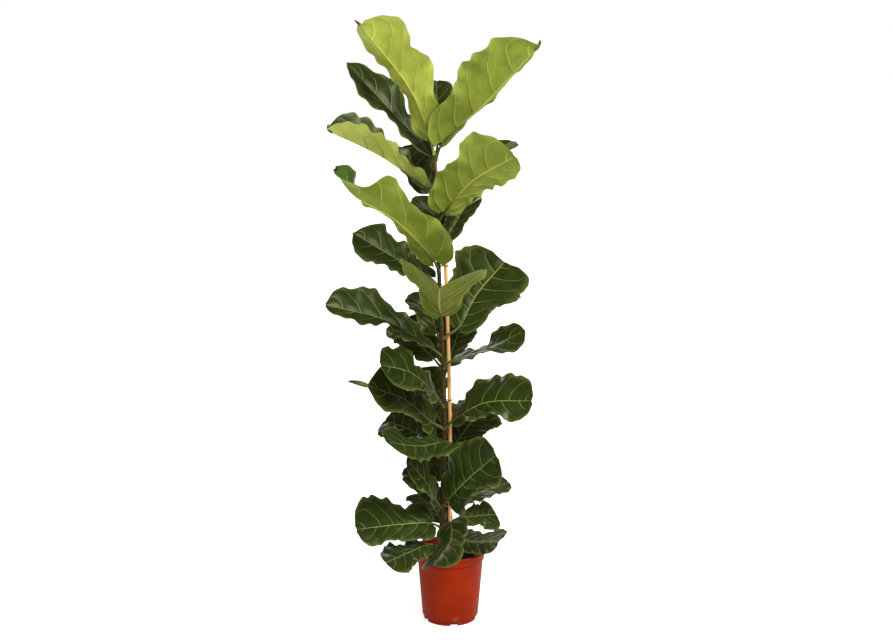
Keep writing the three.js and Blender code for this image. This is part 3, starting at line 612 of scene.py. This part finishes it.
# The photo shows the first 32, whole or in part, and the last six stand behind the trunk
LEAVES = [
    fig_leaf(1325, [(-60, -12, 1390), (-105, -50, 1505), (-236, -95, 1676)], (92, 74), (8, 44), (-52, -45),
             (12, 2.6, 0.1), lobes=(0.16, 2.5, 0.08), tip=1.2, curl=(42, -35, 4.6), age="new"),
    fig_leaf(1318, [(-20, -14, 1368), (95, -45, 1475), (235, -80, 1625)], (28, 122), (48, 4), (55, 50),
             (11, 2.6, 0.5), lobes=(0.2, 1, 0.44), tip=0.5, curl=(36, 70, 4.6), age="fresh_backlit"),
    fig_leaf(1282, [(-62, 14, 1338), (-175, 40, 1462), (-285, 65, 1580)], (70, 74), (15, 12),
             (22, 30, 26, 12), (8, 2.4, 0.3), lobes=(0.3, 1.7, 0.89), base=0.75, tip=0.6),
    fig_leaf(1312, [(-36, 34, 1362), (-38, 90, 1448), (-38, 145, 1530)], (48, 50), 20, 0, (6, 2.2, 0.6)),
    fig_leaf(1205, [(-76, -12, 1250), (-180, -40, 1328), (-330, -60, 1402)], (64, 76), (58, 62),
             (-10, 2, 20), (9, 2.5, 0.2), lobes=(0.14, 1.9, 0.1), tip=0.9, curl=(30, 90, 4.2), age="pale_lit"),
    fig_leaf(1186, [(-60, 30, 1232), (-100, 90, 1290), (-138, 170, 1345)], 70, 15, 10, (6, 2.3, 0.4)),
    fig_leaf(1010, [(-45, -40, 1045), (-140, -112, 1160), (-260, -150, 1240), (-305, -160, 1305)],
             (104, 72), (2, 48), (-52, -50, -45, 30), (11, 2.4, 0.7), base=1.25, curl=(30, 80, 4),
             age="fresh_backlit"),
    fig_leaf(1145, [(-14, -28, 1180), (55, -80, 1265), (170, -120, 1335)], (76, 112), (12, 6), 46,
             (9, 2.3, 0.1), age="fresh_backlit"),
    fig_leaf(1070, [(-8, 22, 1105), (25, 70, 1155), (55, 140, 1215)], 52, 20, -10, (6, 2.2, 0.2)),
    fig_leaf(965, [(-58, 0, 995), (-155, 15, 1047), (-272, 25, 1115)], (88, 75), (-6, 25), 14,
             (7, 2.5, 0.9), tip=0.45),
    fig_leaf(860, [(-25, -60, 895), (-30, -170, 945), (-28, -290, 1010)], (134, 138), (30, 44), 0,
             (8, 2.1, 0.3), base=0.62, age="grown_backlit"),
    fig_leaf(818, [(26, 2, 856), (74, 58, 936), (155, 112, 1022)], (120, 114), 6, -30, (9, 2.4, 0.4),
             bend=(-7, -4, 832), base=0.7, tip=2.4),
    fig_leaf(770, [(-58, -12, 800), (-180, -40, 880), (-342, -60, 925)], (56, 84), (4, 25), (12, 25),
             (9, 2.6, 0.1), lobes=(0.16, 2, 0.75), tip=0.8),
    fig_leaf(735, [(0, -18, 760), (90, -40, 797), (205, -62, 855)], (46, 60), 8, (-4, -14, -60),
             (6, 2.2, 0.8), tip=0.7),
    fig_leaf(622, [(-46, -36, 674), (-110, -78, 740), (-190, -122, 772)], (96, 76), (6, 12), 34,
             (7, 2.3, 0.5)),
    fig_leaf(730, [(-48, 24, 760), (-92, 72, 792), (-140, 130, 850)], (70, 72), 15, 24, (6, 2.3, 0.2)),
    fig_leaf(560, [(-54, -16, 585), (-125, -60, 658), (-232, -100, 710)], (76, 80), (10, 6), 42,
             (7, 2.5, 0.6), base=1.35, tip=0.3, curl=(64, -22, 7.5)),
    fig_leaf(495, [(-60, 8, 522), (-120, 50, 546), (-190, 92, 560)], 68, 12, 32, (6, 2.3, 0.1)),
    fig_leaf(465, [(-34, 34, 494), (-42, 92, 534), (-44, 160, 592)], (70, 72), 15, 5, (6, 2.2, 0.7)),
    fig_leaf(500, [(-5, -46, 535), (-85, -110, 540), (-172, -185, 572)], (84, 78), (-14, 18), (2, 6),
             (7, 2.2, 0.3), tip=0.7),
    fig_leaf(560, [(12, -24, 594), (95, -60, 650), (224, -90, 664)], (104, 58), (4, -16), -32,
             (9, 2.3, 0.5), lobes=(0.2, 1.2, 0.71), tip=1.2),
    fig_leaf(480, [(16, 32, 510), (50, 62, 550), (98, 110, 595)], (75, 80), 10, -24, (7, 2.2, 0.9),
             bend=(-14, 21, 492)),
    fig_leaf(335, [(-4, -46, 368), (44, -84, 432), (126, -120, 518)], (96, 78), 4, (-70, -66),
             (7, 2.4, 0.2), lobes=(0.32, 1, 0.8), base=1.25, tip=1.4),
    fig_leaf(290, [(10, 38, 322), (81, 80, 346), (170, 118, 368)], (56, 58), 10, -14, (6, 2.3, 0.4)),
    fig_leaf(308, [(-46, 28, 342), (-78, 80, 372), (-106, 140, 416)], (50, 60), 12, 24, (6, 2.2, 0.8),
             base=0.85),
    fig_leaf(325, [(-42, -17, 355), (-68, -50, 418), (-122, -98, 495)], (58, 64), (8, 10), 58,
             (6, 2.2, 0.5)),
    fig_leaf(265, [(-52, -24, 288), (-140, -62, 298), (-262, -100, 296)], (70, 98), (-4, 8), (34, 26),
             (6, 2.5, 0.6), lobes=(0.2, 1, 0.05), base=1.25),
    fig_leaf(212, [(-64, -50, 234), (-118, -92, 226), (-180, -128, 210)], (60, 64), (-10, -2), (16, 12),
             (6, 2.2, 0.3)),
    fig_leaf(262, [(0, -42, 298), (0, -114, 268), (-46, -192, 226)], (60, 74), (-12, -18), (-26, -20),
             (4, 2, 0.1), lobes=(0.06, 1.5, 0.1), base=1.4, tip=1.8),
    fig_leaf(256, [(34, 34, 286), (81, 70, 280), (135, 112, 270)], (46, 54), (8, 4), -38, (7, 2.2, 0.2),
             bend=(-15, 20, 268)),
    fig_leaf(206, [(14, -17, 234), (77, -60, 248), (136, -106, 264)], (64, 50), -8, (-26, -24),
             (3, 2.1, 0.7), lobes=(0.04, 1.5, 0.2), base=1.35, tip=2),
    fig_leaf(1166, [(-24, 28, 1218), (60, 85, 1290), (190, 125, 1350)], (50, 52), 40, 0, (6, 2.3, 0.4)),
    fig_leaf(800, [(-38, 42, 828), (-52, 92, 868), (-66, 152, 930)], 70, 15, 5, (6, 2.2, 0.5)),
    fig_leaf(705, [(-6, 42, 738), (10, 98, 778), (32, 162, 838)], 58, 15, -5, (6, 2.2, 0.1)),
    fig_leaf(1040, [(-34, 36, 1072), (-44, 94, 1132), (-36, 162, 1200)], 72, 18, 0, (7, 2.3, 0.3)),
    fig_leaf(570, [(-42, 36, 600), (-64, 98, 640), (-92, 162, 700)], 68, 14, 4, (6, 2.2, 0.6)),
    fig_leaf(370, [(-22, 38, 402), (-20, 102, 446), (-6, 172, 505)], 72, 12, 0, (7, 2.2, 0.9)),
    fig_leaf(240, [(-28, 38, 272), (-52, 98, 300), (-82, 162, 320)], 66, 6, 0, (6, 2.1, 0.2)),
]
# The outline: shares of a blade's length, and of its half width there
FIDDLE = [
    (0, 0.12), (0.04, 0.46), (0.13, 0.65), (0.26, 0.66), (0.4, 0.74), (0.54, 0.88),
    (0.68, 1), (0.81, 1), (0.93, 0.76), (1, 0.12),
]
BLADE = 1.1
EDGE = 0.5
TIP_HALF_WIDTH = 2.5
BLUNT_FROM = 0.68
LOBES = (0.09, 2.4)
BASE_SHARE, BASE_REACH = 0.16, 0.06
TIP_SHARE, TIP_REACH = 0.2, 0.012
SIDES_APART = 0.4
STALK_RADII = (4.2, 3.3)
ROOT_FLARE = 1.6
MAIN_SHARE = 2
CURL_SHARE = -1
CURL_BACK = 10
MIDRIB_TIP = 0.7
SIDE_RIB_RADII = (1.5, 0.4)
SIDE_RIBS = 5
RIB_SPACING = 0.185
RIB_POINTS = 16
RIB_SIDES = 8
MIDRIB_POINTS = 48
STALK_POINTS = 26
CURL_POINTS = 16
ROWS = 84
COLUMNS = 41
BULGE = 3.0
RIPPLE = 0.6
BUCKLE = 3.0
CRINKLES = ((0.036, 6.3, 1, 1.3), (0.02, 11, 4, 2.2))
FOLD_START, FOLD_RATE = 0.25, 3
WAVE_START = 0.08
RIB_UNEVEN = (0.018, 9.5, 2.1)
RIB_END = 0.93
RIB_KEPT = (0.004, 0.985)
FRAME_SAMPLES = 160
NET_CELLS = (2.6, 9.0, 1.0)
FINE_NET = 3.6


def unit(vectors):
    return vectors / np.linalg.norm(vectors, axis=-1, keepdims=True)


def lengthwise(values, along):
    """Rows of vectors kept at even shares of the blade, read at any shares."""
    return read_line(along, np.linspace(0, 1, len(values)), values)


def leaf_frame(leaf, chance):
    """Lines and directions of one leaf: its stalk, its midrib, and what lies across and above it."""
    route = [trunk_at(leaf["start"]), *([leaf["bend"]] if "bend" in leaf else [])]
    points = [*route, *leaf["rib"]]
    whole = smooth_line(points, FRAME_SAMPLES * (len(points) - 1) + 1)
    base = FRAME_SAMPLES * len(route)
    rib, length = even(whole[base:], np.linspace(0, 1, FRAME_SAMPLES))
    ahead = unit(np.gradient(rib, axis=0))
    outward = unit((rib[-1] - rib[0]) * (1, 1, 0))
    right = np.array((outward[1], -outward[0], 0.0))
    right = unit(right - ahead * (ahead @ right)[:, None])
    roll = np.atleast_1d(leaf["roll"])
    steps, shares = (np.linspace(0, 1, count) for count in (len(roll), FRAME_SAMPLES))
    lean = np.radians(np.interp(shares, steps, roll))[:, None]
    across = right * np.cos(lean) + np.cross(right, ahead) * np.sin(lean)
    up = np.cross(across, ahead)
    phases = [chance.uniform(0, 2 * math.pi) for _ in range(8)]
    ribs = {"first": chance.uniform(0.01, 0.05), "spacing": RIB_SPACING * chance.uniform(0.93, 1.1),
            "slope": chance.uniform(0.03, 0.12), "reach": chance.uniform(0.16, 0.26),
            "apart": chance.uniform(0.3, 0.6), "phase": chance.uniform(0, 2 * math.pi)}
    return {"leaf": leaf, "stalk": whole[:base + 1], "rib": rib, "length": length, "ahead": ahead,
            "across": across, "up": up, "phases": phases, "ribs": ribs}


def rib_reach(ribs, out):
    """How far along the blade a side rib has come, at a share of the way out to the edge."""
    return ribs["slope"] * out + ribs["reach"] * out ** 2 + 0.4 * np.maximum(0, out - 0.8) ** 2


def rib_shift(ribs, along, side):
    """Unevenness of the side ribs: how far they stand from even steps, along the blade."""
    amount, pace, apart = RIB_UNEVEN
    return amount * np.sin(pace * along + ribs["phase"] + apart * side)


def rib_count(ribs, along, out, side):
    """Place between side ribs: whole numbers are on a rib."""
    even_along = along - ribs["first"] - rib_reach(ribs, out) + rib_shift(ribs, along, side)
    return even_along / ribs["spacing"] + side * ribs["apart"]


def half_width(form, along, side):
    """Half width of the blade at shares of its length, on its left (0) or its right (1)."""
    leaf, phases = form["leaf"], form["phases"]
    slim = leaf.get("base", 1) + (1 - leaf.get("base", 1)) * np.minimum(1, 2 * along)
    width = np.interp(along, FIDDLE_LINE[:, 0], FIDDLE_LINE[:, 1])
    width = width ** np.where(along > BLUNT_FROM, 1 / leaf.get("tip", 1), 1)
    amount, count, start = leaf.get("lobes", (*LOBES, leaf["wave"][2]))
    lobes = amount * np.sin(2 * math.pi * (count * along + start + SIDES_APART * side))
    for height, waves, phase, apart in CRINKLES:
        lobes += height * np.sin(2 * math.pi * waves * along + phases[phase] + apart * side)
    half = np.broadcast_to(leaf["half"], 2)[side]
    return np.maximum(TIP_HALF_WIDTH, half * width * slim * (1 + lobes * np.sin(math.pi * along)))


def blade_point(form, along, over, lift):
    """Points of a blade: along from base to tip, over from -1 to 1 across, lift mm above its middle."""
    leaf, phases = form["leaf"], form["phases"]
    side = (over > 0).astype(int)
    out = np.abs(over)
    width = half_width(form, along, side)
    reach = out * width
    fold = np.radians(np.broadcast_to(leaf["fold"], 2)[side]) * np.minimum(1, FOLD_RATE * along + FOLD_START)
    height, count, start = leaf["wave"]
    turn = 2 * math.pi * (count * along + start + SIDES_APART * side)
    swing = np.sin(turn) + RIPPLE * np.sin(2.7 * turn + phases[2]) * out ** 2
    wave = height * out ** 2 * swing * np.sqrt(np.sin(math.pi * np.minimum(1, along + WAVE_START)))
    wave += BUCKLE * out * np.sin(7 * along + 3.1 * out + phases[3]) * np.sin(math.pi * along)
    share = rib_count(form["ribs"], along, out, side) % 1
    bulge = np.sin(math.pi * share) ** 0.7 * np.minimum(1, 5 * out) * np.sqrt(np.maximum(0, 1 - out))
    bulge = BULGE * bulge * np.minimum(1, width / 60)
    base = np.maximum(0, 1 - along / BASE_SHARE) * BASE_REACH
    end = np.maximum(0, 1 - (1 - along) / TIP_SHARE) * TIP_REACH * leaf.get("tip", 1)
    behind = (base - end) * form["length"] * out ** 2
    raised = reach * np.sin(fold) + wave + bulge + lift * np.cos(fold)
    aside = np.sign(over) * (reach * np.cos(fold) - lift * np.sin(fold))
    return (lengthwise(form["rib"], along) - lengthwise(form["ahead"], along) * behind[..., None]
            + lengthwise(form["across"], along) * aside[..., None]
            + lengthwise(form["up"], along) * raised[..., None])


def side_rib(form, number, side):
    """Line and thickness of one side rib, just under the blade, out to near its edge."""
    ribs, sign = form["ribs"], (-1, 1)[side]
    start = ribs["first"] + (number - side * ribs["apart"]) * ribs["spacing"]
    out = np.linspace(0.0, RIB_END, RIB_POINTS)
    along = start + rib_reach(ribs, out)
    for _ in range(4):
        along = start + rib_reach(ribs, out) - rib_shift(ribs, along, side)
    kept = (along > RIB_KEPT[0]) & (along < RIB_KEPT[1])
    out, along = out[kept], along[kept]
    if len(out) < 4:
        return None
    size = math.sqrt(form["length"] / 300) * (1 - 0.45 * max(0, start)) * np.minimum(1, 20 * (1 - along))
    radii = size * (SIDE_RIB_RADII[0] + (SIDE_RIB_RADII[1] - SIDE_RIB_RADII[0]) * out ** 0.8)
    line = blade_point(form, along, sign * np.maximum(out, RIB_KEPT[0]), -0.5 * BLADE - 0.45 * radii)
    return line, radii, False


def stalk_and_midrib(form):
    """The round stalk and, under the blade, the midrib that it goes on as, as one tapered line."""
    stalk, _ = even(form["stalk"], np.linspace(0, 1, STALK_POINTS))
    clear = np.hypot(*(stalk - trunk_at(form["leaf"]["start"]))[:, :2].T) > 0.5 * STALK_RADII[0]
    stalk = stalk[clear][:-1]
    share = np.linspace(0, 1, len(stalk))
    flare = 1 + (ROOT_FLARE - 1) * np.exp(-share * 9)
    stalk_radii = (STALK_RADII[0] + (STALK_RADII[1] - STALK_RADII[0]) * share) * flare
    along = np.linspace(0, RIB_KEPT[1], MIDRIB_POINTS)
    radii = STALK_RADII[1] + (MIDRIB_TIP - STALK_RADII[1]) * along ** 0.75
    sunk = lengthwise(form["up"], along) * (radii * 0.55 * np.minimum(1, along * 12))[:, None]
    line = np.vstack([stalk, lengthwise(form["rib"], along) - sunk])
    return line, np.concatenate([stalk_radii, radii]), False, MAIN_SHARE, MAIN_SHARE + 1


def tip_curl(form):
    """The rolled brown tip of some leaves, which curls up or down past the end of the midrib."""
    share = np.linspace(0, 1, CURL_POINTS)
    length, turn, radius = form["leaf"]["curl"]
    angle = (math.radians(turn) * share ** 1.5)[:, None]
    ahead, up = form["ahead"][-1], form["up"][-1]
    steps = (ahead * np.cos(angle) + up * np.sin(angle)) * length / len(share)
    line = form["rib"][-CURL_BACK] + np.cumsum(steps, axis=0)
    radii = radius * np.sin(math.pi * (0.12 + 0.8 * share ** 0.7)) ** 0.8
    return line, radii, False, CURL_SHARE, CURL_SHARE - 1


def leaf_mesh(name, form):
    """The blade, closed all round, with its rib lines as loose edges for the rods tree."""
    share = np.linspace(0, 1, ROWS)
    rows = share - 0.05 * np.sin(2 * math.pi * share)
    share = np.linspace(-1, 1, COLUMNS)
    columns = np.sign(share) * np.abs(share) ** 1.15
    along, over = np.meshgrid(rows, columns, indexing="ij")
    thin = (BLADE + (EDGE - BLADE) * np.abs(over) ** 6) / 2
    blade = [blade_point(form, along, over, face * thin).reshape(-1, 3) for face in (1, -1)]
    ids = np.arange(ROWS * COLUMNS).reshape(ROWS, COLUMNS)
    under = ids + ROWS * COLUMNS
    upper_quads = np.stack([ids[:-1, :-1], ids[:-1, 1:], ids[1:, 1:], ids[1:, :-1]], -1).reshape(-1, 4)
    lower_quads = upper_quads[:, ::-1] + ROWS * COLUMNS
    rims = [np.stack([ids[:-1, -1], under[:-1, -1], under[1:, -1], ids[1:, -1]], -1),
            np.stack([ids[:-1, 0], ids[1:, 0], under[1:, 0], under[:-1, 0]], -1),
            np.stack([ids[-1, :-1], ids[-1, 1:], under[-1, 1:], under[-1, :-1]], -1),
            np.stack([ids[0, :-1], under[0, :-1], under[0, 1:], ids[0, 1:]], -1)]
    quads = np.vstack([upper_quads, lower_quads, *rims])
    ribs = [side_rib(form, number, side) for number in range(-1, SIDE_RIBS) for side in (0, 1)]
    curls = [tip_curl(form)] if "curl" in form["leaf"] else []
    lines = rod_mesh("rib_lines", [stalk_and_midrib(form), *curls, *[rib for rib in ribs if rib]])
    rod_points = np.array([vertex.co for vertex in lines.vertices])
    rod_edges = np.array([edge.vertices for edge in lines.edges]) + 2 * ROWS * COLUMNS
    mesh = new_mesh(name, np.vstack([MM * np.vstack(blade), rod_points]), quads, rod_edges)
    for attribute in ("rod_radius", "rod_share"):
        values = np.zeros(len(rod_points), np.float32)
        lines.attributes[attribute].data.foreach_get("value", values)
        give(mesh, attribute, np.concatenate([np.zeros(2 * ROWS * COLUMNS), values]))
    bpy.data.meshes.remove(lines)
    mesh.shade_smooth()
    mesh.polygons.foreach_set("material_index", (np.arange(len(quads)) >= len(upper_quads)).astype(np.int32))
    corners = np.zeros(len(mesh.loops), np.int32)
    mesh.loops.foreach_get("vertex_index", corners)
    corners %= ROWS * COLUMNS
    along, over = along.ravel()[corners], over.ravel()[corners]
    middle = np.repeat(over.reshape(-1, 4).mean(1) > 0, 4).astype(int)
    count = rib_count(form["ribs"], along, np.abs(over), middle)
    for layer, values in (("blade", (along, 0.5 + 0.5 * over)), ("ribs", (count, np.abs(over)))):
        mesh.uv_layers.new(name=layer).data.foreach_set("uv", np.stack(values, -1).ravel())
    return mesh


def blade_pattern():
    """Group that finds the ribs, the net of veins between them and the margin from a blade's maps."""
    tree = bpy.data.node_groups.new("blade_pattern", "ShaderNodeTree")
    tree.interface.new_socket("Rib Width", in_out="INPUT", socket_type="NodeSocketFloat")
    for name in ("Ribs", "Midrib", "Net", "Margin", "Out", "Along", "Relief"):
        tree.interface.new_socket(name, in_out="OUTPUT", socket_type="NodeSocketFloat")
    given = tree.nodes.new("NodeGroupInput").outputs
    ribs_map = result(tree, "ShaderNodeUVMap", uv_map="ribs")
    blade_map = result(tree, "ShaderNodeUVMap", uv_map="blade")
    count, out = parts(tree, ribs_map)[:2]
    along = parts(tree, blade_map)[0]
    away = calc(tree, "PINGPONG", count, 0.5)
    width = times(tree, given["Rib Width"], calc(tree, "SUBTRACT", 1.25, out))
    shares = calc(tree, "DIVIDE", away, width)
    side = between(tree, shares, 1.3, 0.6)
    fading = times(tree, between(tree, out, 1.0, 0.86), between(tree, along, 0.97, 0.91))
    side = times(tree, side, fading)
    thick = times(tree, calc(tree, "SUBTRACT", 1.5, along), given["Rib Width"])
    middle = between(tree, calc(tree, "DIVIDE", out, thick), 1.25, 0.75)
    cells = result(tree, "ShaderNodeVectorMath", {0: ribs_map, 1: NET_CELLS}, operation="MULTIPLY")
    bent = noise(tree, object_place(tree), 30.0, 2.0)
    moved = result(tree, "ShaderNodeVectorMath", {0: cells, 1: bent}, operation="ADD")
    large, small = (
        add(tree, "ShaderNodeTexVoronoi", {"Vector": moved, "Scale": scale}, feature="DISTANCE_TO_EDGE",
            voronoi_dimensions="2D").outputs["Distance"] for scale in (1.0, FINE_NET))
    net = between(tree, large, 0.075, 0.0)
    fine = between(tree, small, 0.14, 0.0)
    margin = between(tree, out, 0.962, 0.985)
    broad = between(tree, shares, 5.0, 0.0)
    relief = calc(tree, "ADD", times(tree, net, 0.1), times(tree, fine, 0.02))
    relief = calc(tree, "ADD", relief, calc(tree, "MAXIMUM", broad, middle))
    ends = add(tree, "NodeGroupOutput").inputs
    veins = calc(tree, "MAXIMUM", net, times(tree, fine, 0.25))
    for name, socket in (("Ribs", side), ("Midrib", middle), ("Net", veins), ("Margin", margin),
                         ("Out", out), ("Along", along), ("Relief", relief)):
        tree.links.new(socket, ends[name])
    return tree


# Colours of each age of leaf, and of one pale leaf that is lit: the skin of each face in two shades, and its
# veins; the margin, the ribs at their roots and beyond, the stalk, and the midrib that it goes on as. Three
# ages share an upper face. Some undersides are painted lighter for the light that shines through or falls on
# them
OLDER = {"top": ((0.025, 0.039, 0.005), (0.016, 0.026, 0.0035)), "top_vein": (0.25, 0.3, 0.07)}
AGES = {
    # Painted light: the new leaf's underside is painted lighter for the light that shines through it, over
    # its own young green
    "new": {"top": ((0.29, 0.42, 0.05), (0.22, 0.34, 0.035)), "top_vein": (0.5, 0.56, 0.16),
            "under": ((0.37, 0.43, 0.062), (0.28, 0.34, 0.04)), "under_vein": (0.6, 0.62, 0.14),
            "margin": (0.42, 0.5, 0.1), "rib_root": (0.36, 0.17, 0.02), "rib": (0.56, 0.55, 0.1),
            "stalk": (0.3, 0.34, 0.05), "midrib": (0.46, 0.46, 0.08)},
    # Painted light: this underside is painted lighter for the light that shines through it, over its own
    # young green
    "fresh_backlit": {"top": ((0.06, 0.115, 0.016), (0.04, 0.08, 0.011)), "top_vein": (0.3, 0.38, 0.09),
              "under": ((0.212, 0.272, 0.031), (0.155, 0.207, 0.02)), "under_vein": (0.42, 0.46, 0.11),
              "margin": (0.33, 0.4, 0.09), "rib_root": (0.34, 0.17, 0.02), "rib": (0.48, 0.47, 0.1),
              "stalk": (0.08, 0.12, 0.02), "midrib": (0.4, 0.42, 0.08)},
    # Painted light: this underside is painted far lighter than its own pale green, for the light that falls
    # on it
    "pale_lit": {**OLDER, "under": ((0.5, 0.54, 0.115), (0.4, 0.445, 0.085)), "under_vein": (0.54, 0.58, 0.16),
             "margin": (0.3, 0.36, 0.08), "rib_root": (0.22, 0.2, 0.04), "rib": (0.42, 0.44, 0.1),
             "stalk": (0.07, 0.1, 0.02), "midrib": (0.3, 0.35, 0.06)},
    # Painted light: this underside is painted lighter for the light that shines through it, over its own
    # green
    "grown_backlit": {**OLDER, "under": ((0.132, 0.156, 0.018), (0.1, 0.123, 0.012)),
              "under_vein": (0.3, 0.33, 0.07), "margin": (0.2, 0.25, 0.05), "rib_root": (0.22, 0.2, 0.04),
              "rib": (0.3, 0.33, 0.07), "stalk": (0.07, 0.1, 0.02), "midrib": (0.26, 0.31, 0.06)},
    "mature": {**OLDER, "under": ((0.09, 0.105, 0.022), (0.068, 0.082, 0.016)),
               "under_vein": (0.2, 0.22, 0.06), "margin": (0.16, 0.2, 0.045), "rib_root": (0.18, 0.17, 0.04),
               "rib": (0.22, 0.24, 0.06), "stalk": (0.09, 0.105, 0.025), "midrib": (0.2, 0.24, 0.055)},
}
BROWN_TIP = (0.05, 0.028, 0.012)


def blade_finish(age, face, pattern):
    """The upper or under skin of a blade of one age."""
    colours, glossy = AGES[age], face == "top"
    material, tree, shader, place = new_material(
        f"{age}_leaf_{face}", Specular_IOR_Level=0.29 if glossy else 0.16, Specular_Tint=(0.95, 1, 0.7, 1))
    rib_width = 0.017 if glossy else 0.027
    found = add(tree, "ShaderNodeGroup", {"Rib Width": rib_width}, node_tree=pattern).outputs
    cloudy = noise(tree, place, 22.0, 3.0)
    speckled = noise(tree, place, 260.0, 3.0)
    vein = colours[face + "_vein"]
    colour = blend(tree, between(tree, cloudy, 0.35, 0.65), *colours[face])
    colour = blend(tree, between(tree, found["Out"], 0.75, 1.0, 0.0, 0.2), colour, vein)
    for line, share in (("Net", 0.03 if glossy else 0.14), ("Ribs", 0.8), ("Midrib", 0.95)):
        colour = blend(tree, times(tree, found[line], share), colour, vein)
    colour = blend(tree, times(tree, found["Margin"], 0.5), colour, colours["margin"])
    worn = calc(tree, "SUBTRACT", found["Along"], times(tree, found["Out"], 0.06))
    tip = between(tree, calc(tree, "ADD", worn, times(tree, cloudy, 0.02)), 0.985, 1.0)
    colour = blend(tree, times(tree, tip, 0.85), colour, BROWN_TIP)
    roughness = between(tree, speckled, 0.3, 0.7, *((0.29, 0.36) if glossy else (0.5, 0.6)))
    sunk = times(tree, found["Relief"], -1.0 if glossy else 1.0)
    grain = times(tree, speckled, 0.04)
    wire(tree, shader, colour, roughness, calc(tree, "ADD", sunk, grain), 0.0005, 0.45)
    return material


def rib_finish(age):
    """Stalks and raised ribs, browner at their root on young leaves."""
    colours = AGES[age]
    material, tree, shader, place = new_material(f"{age}_leaf_ribs", Roughness=0.5, Specular_IOR_Level=0.3)
    share = add(tree, "ShaderNodeAttribute", attribute_name="rod_share").outputs["Fac"]
    uneven = calc(tree, "ADD", share, noise(tree, place, 25.0, 2.0))
    side = blend(tree, between(tree, uneven, 0.6, 1.0), colours["rib_root"], colours["rib"])
    main = blend(tree, between(tree, share, MAIN_SHARE + 0.35, MAIN_SHARE + 0.6),
                 colours["stalk"], colours["midrib"])
    colour = blend(tree, between(tree, share, 1.2, 1.5), side, main)
    curl = blend(tree, between(tree, share, CURL_SHARE - 0.3, CURL_SHARE - 0.7), colours["stalk"], BROWN_TIP)
    colour = blend(tree, between(tree, share, 0.0, CURL_SHARE), colour, curl)
    fibres = noise(tree, place, 500.0, 3.0)
    wire(tree, shader, colour, between(tree, fibres, 0.3, 0.7, 0.42, 0.6), fibres, 0.0002, 0.3)
    return material


FIDDLE_LINE = smooth_line([(along, width, 0) for along, width in FIDDLE], TURN_SAMPLES)
pattern = blade_pattern()
finishes = {age: (blade_finish(age, "top", pattern), blade_finish(age, "under", pattern), rib_finish(age))
            for age in AGES}
for number, leaf in enumerate(LEAVES, 1):
    name, age = f"fig_leaf_{number:02d}", leaf.get("age", "mature")
    form = leaf_frame(leaf, random.Random(number))
    mesh = leaf_mesh(name, form)
    top, under, ribs = finishes[age]
    mesh.materials.append(top)
    mesh.materials.append(under)
    piece = put(name, mesh, f"leaf_{number:02d}")
    grow(piece, rods, Sides=RIB_SIDES, Finish=ribs).set_sharp_from_angle(angle=math.radians(60))

# ---- Floor, light and camera ----
# A plain pale floor under soft studio light, seen from the height and distance of the photograph.

FLOOR_SIZE = 60
FLOOR_GLOWS = (0.17, 0.6)
AIR_LIGHT = 0.5
AIR_SHEEN = 0.1
SUN_LIGHT = 3.5
SUN_SPREAD = 36
SUN_COLOUR = (1.0, 0.97, 0.92)
SUN_TOWARD = (-0.55, 0.62, -0.75)
BACK_LIGHT = {"place": (-1.2, 3.0, 2.6), "size": 1.6, "power": 25}
LAMP_AIM = (0, 0, 0.9)
FLOOR_DROP = 0.0005
FLOOR_WHITES = ((0.89, 0.89, 0.89), (0.87, 0.87, 0.87))
CAMERA_PLACE = (0, -3.75, 1.55)
CAMERA_AIM = (-0.011, 0, 0.874)
CAMERA_FOCAL_PIXELS = 1364
PICTURE_WIDTH = 893
SENSOR_WIDTH = 36


def studio_floor():
    material, tree, shader, place = new_material(
        "studio_floor", Roughness=0.9, Specular_IOR_Level=0.1, Emission_Color=(1, 1, 1, 1))
    colour = blend(tree, noise(tree, place, 2.0), *FLOOR_WHITES)
    seen = add(tree, "ShaderNodeLightPath").outputs["Is Camera Ray"]
    tree.links.new(between(tree, seen, 0.0, 1.0, *FLOOR_GLOWS), shader.inputs["Emission Strength"])
    wire(tree, shader, colour)
    return material


def look_along(thing, place, toward):
    """Sets a lamp or camera at a place, looking in a direction."""
    thing.location = place
    thing.rotation_euler = Vector(toward).to_track_quat("-Z", "Y").to_euler()


def area_light(name, place, size, power):
    """A round lamp that looks at the middle of the plant."""
    light = bpy.data.lights.new(name, "AREA")
    light.shape = "DISK"
    light.size = size
    light.energy = power
    look_along(placed(name, light), place, Vector(LAMP_AIM) - Vector(place))


def studio_air():
    """White all round for the camera, and a dimmer white for what it lights and shines on."""
    world = bpy.data.worlds.new("studio")
    world.use_nodes = True
    tree = world.node_tree
    path = add(tree, "ShaderNodeLightPath").outputs
    strength = between(tree, path["Is Glossy Ray"], 0.0, 1.0, AIR_LIGHT, AIR_SHEEN)
    strength = between(tree, path["Is Camera Ray"], 0.0, 1.0, strength, 1.0)
    tree.links.new(strength, tree.nodes["Background"].inputs["Strength"])
    tree.nodes["Background"].inputs["Color"].default_value = (1, 1, 1, 1)
    return world


reach = FLOOR_SIZE / 2
corners = [(x * reach, y * reach, -FLOOR_DROP) for x, y in ((-1, -1), (1, -1), (1, 1), (-1, 1))]
floor_mesh = new_mesh("floor", corners, [(0, 1, 2, 3)])
floor_mesh.materials.append(studio_floor())
floor = placed("floor", floor_mesh)

sun = bpy.data.lights.new("key_light", "SUN")
sun.energy = SUN_LIGHT
sun.angle = math.radians(SUN_SPREAD)
sun.color = SUN_COLOUR
look_along(placed("key_light", sun), (0, 0, 0), SUN_TOWARD)
area_light("back_light", **BACK_LIGHT)
bpy.context.scene.world = studio_air()
bpy.context.scene.view_settings.view_transform = "Standard"

lens = bpy.data.cameras.new("camera")
lens.sensor_width = SENSOR_WIDTH
lens.lens = CAMERA_FOCAL_PIXELS / PICTURE_WIDTH * lens.sensor_width
lens.clip_end = FLOOR_SIZE
camera = placed("camera", lens)
look_along(camera, CAMERA_PLACE, [end - start for end, start in zip(CAMERA_AIM, CAMERA_PLACE)])
bpy.context.scene.camera = camera
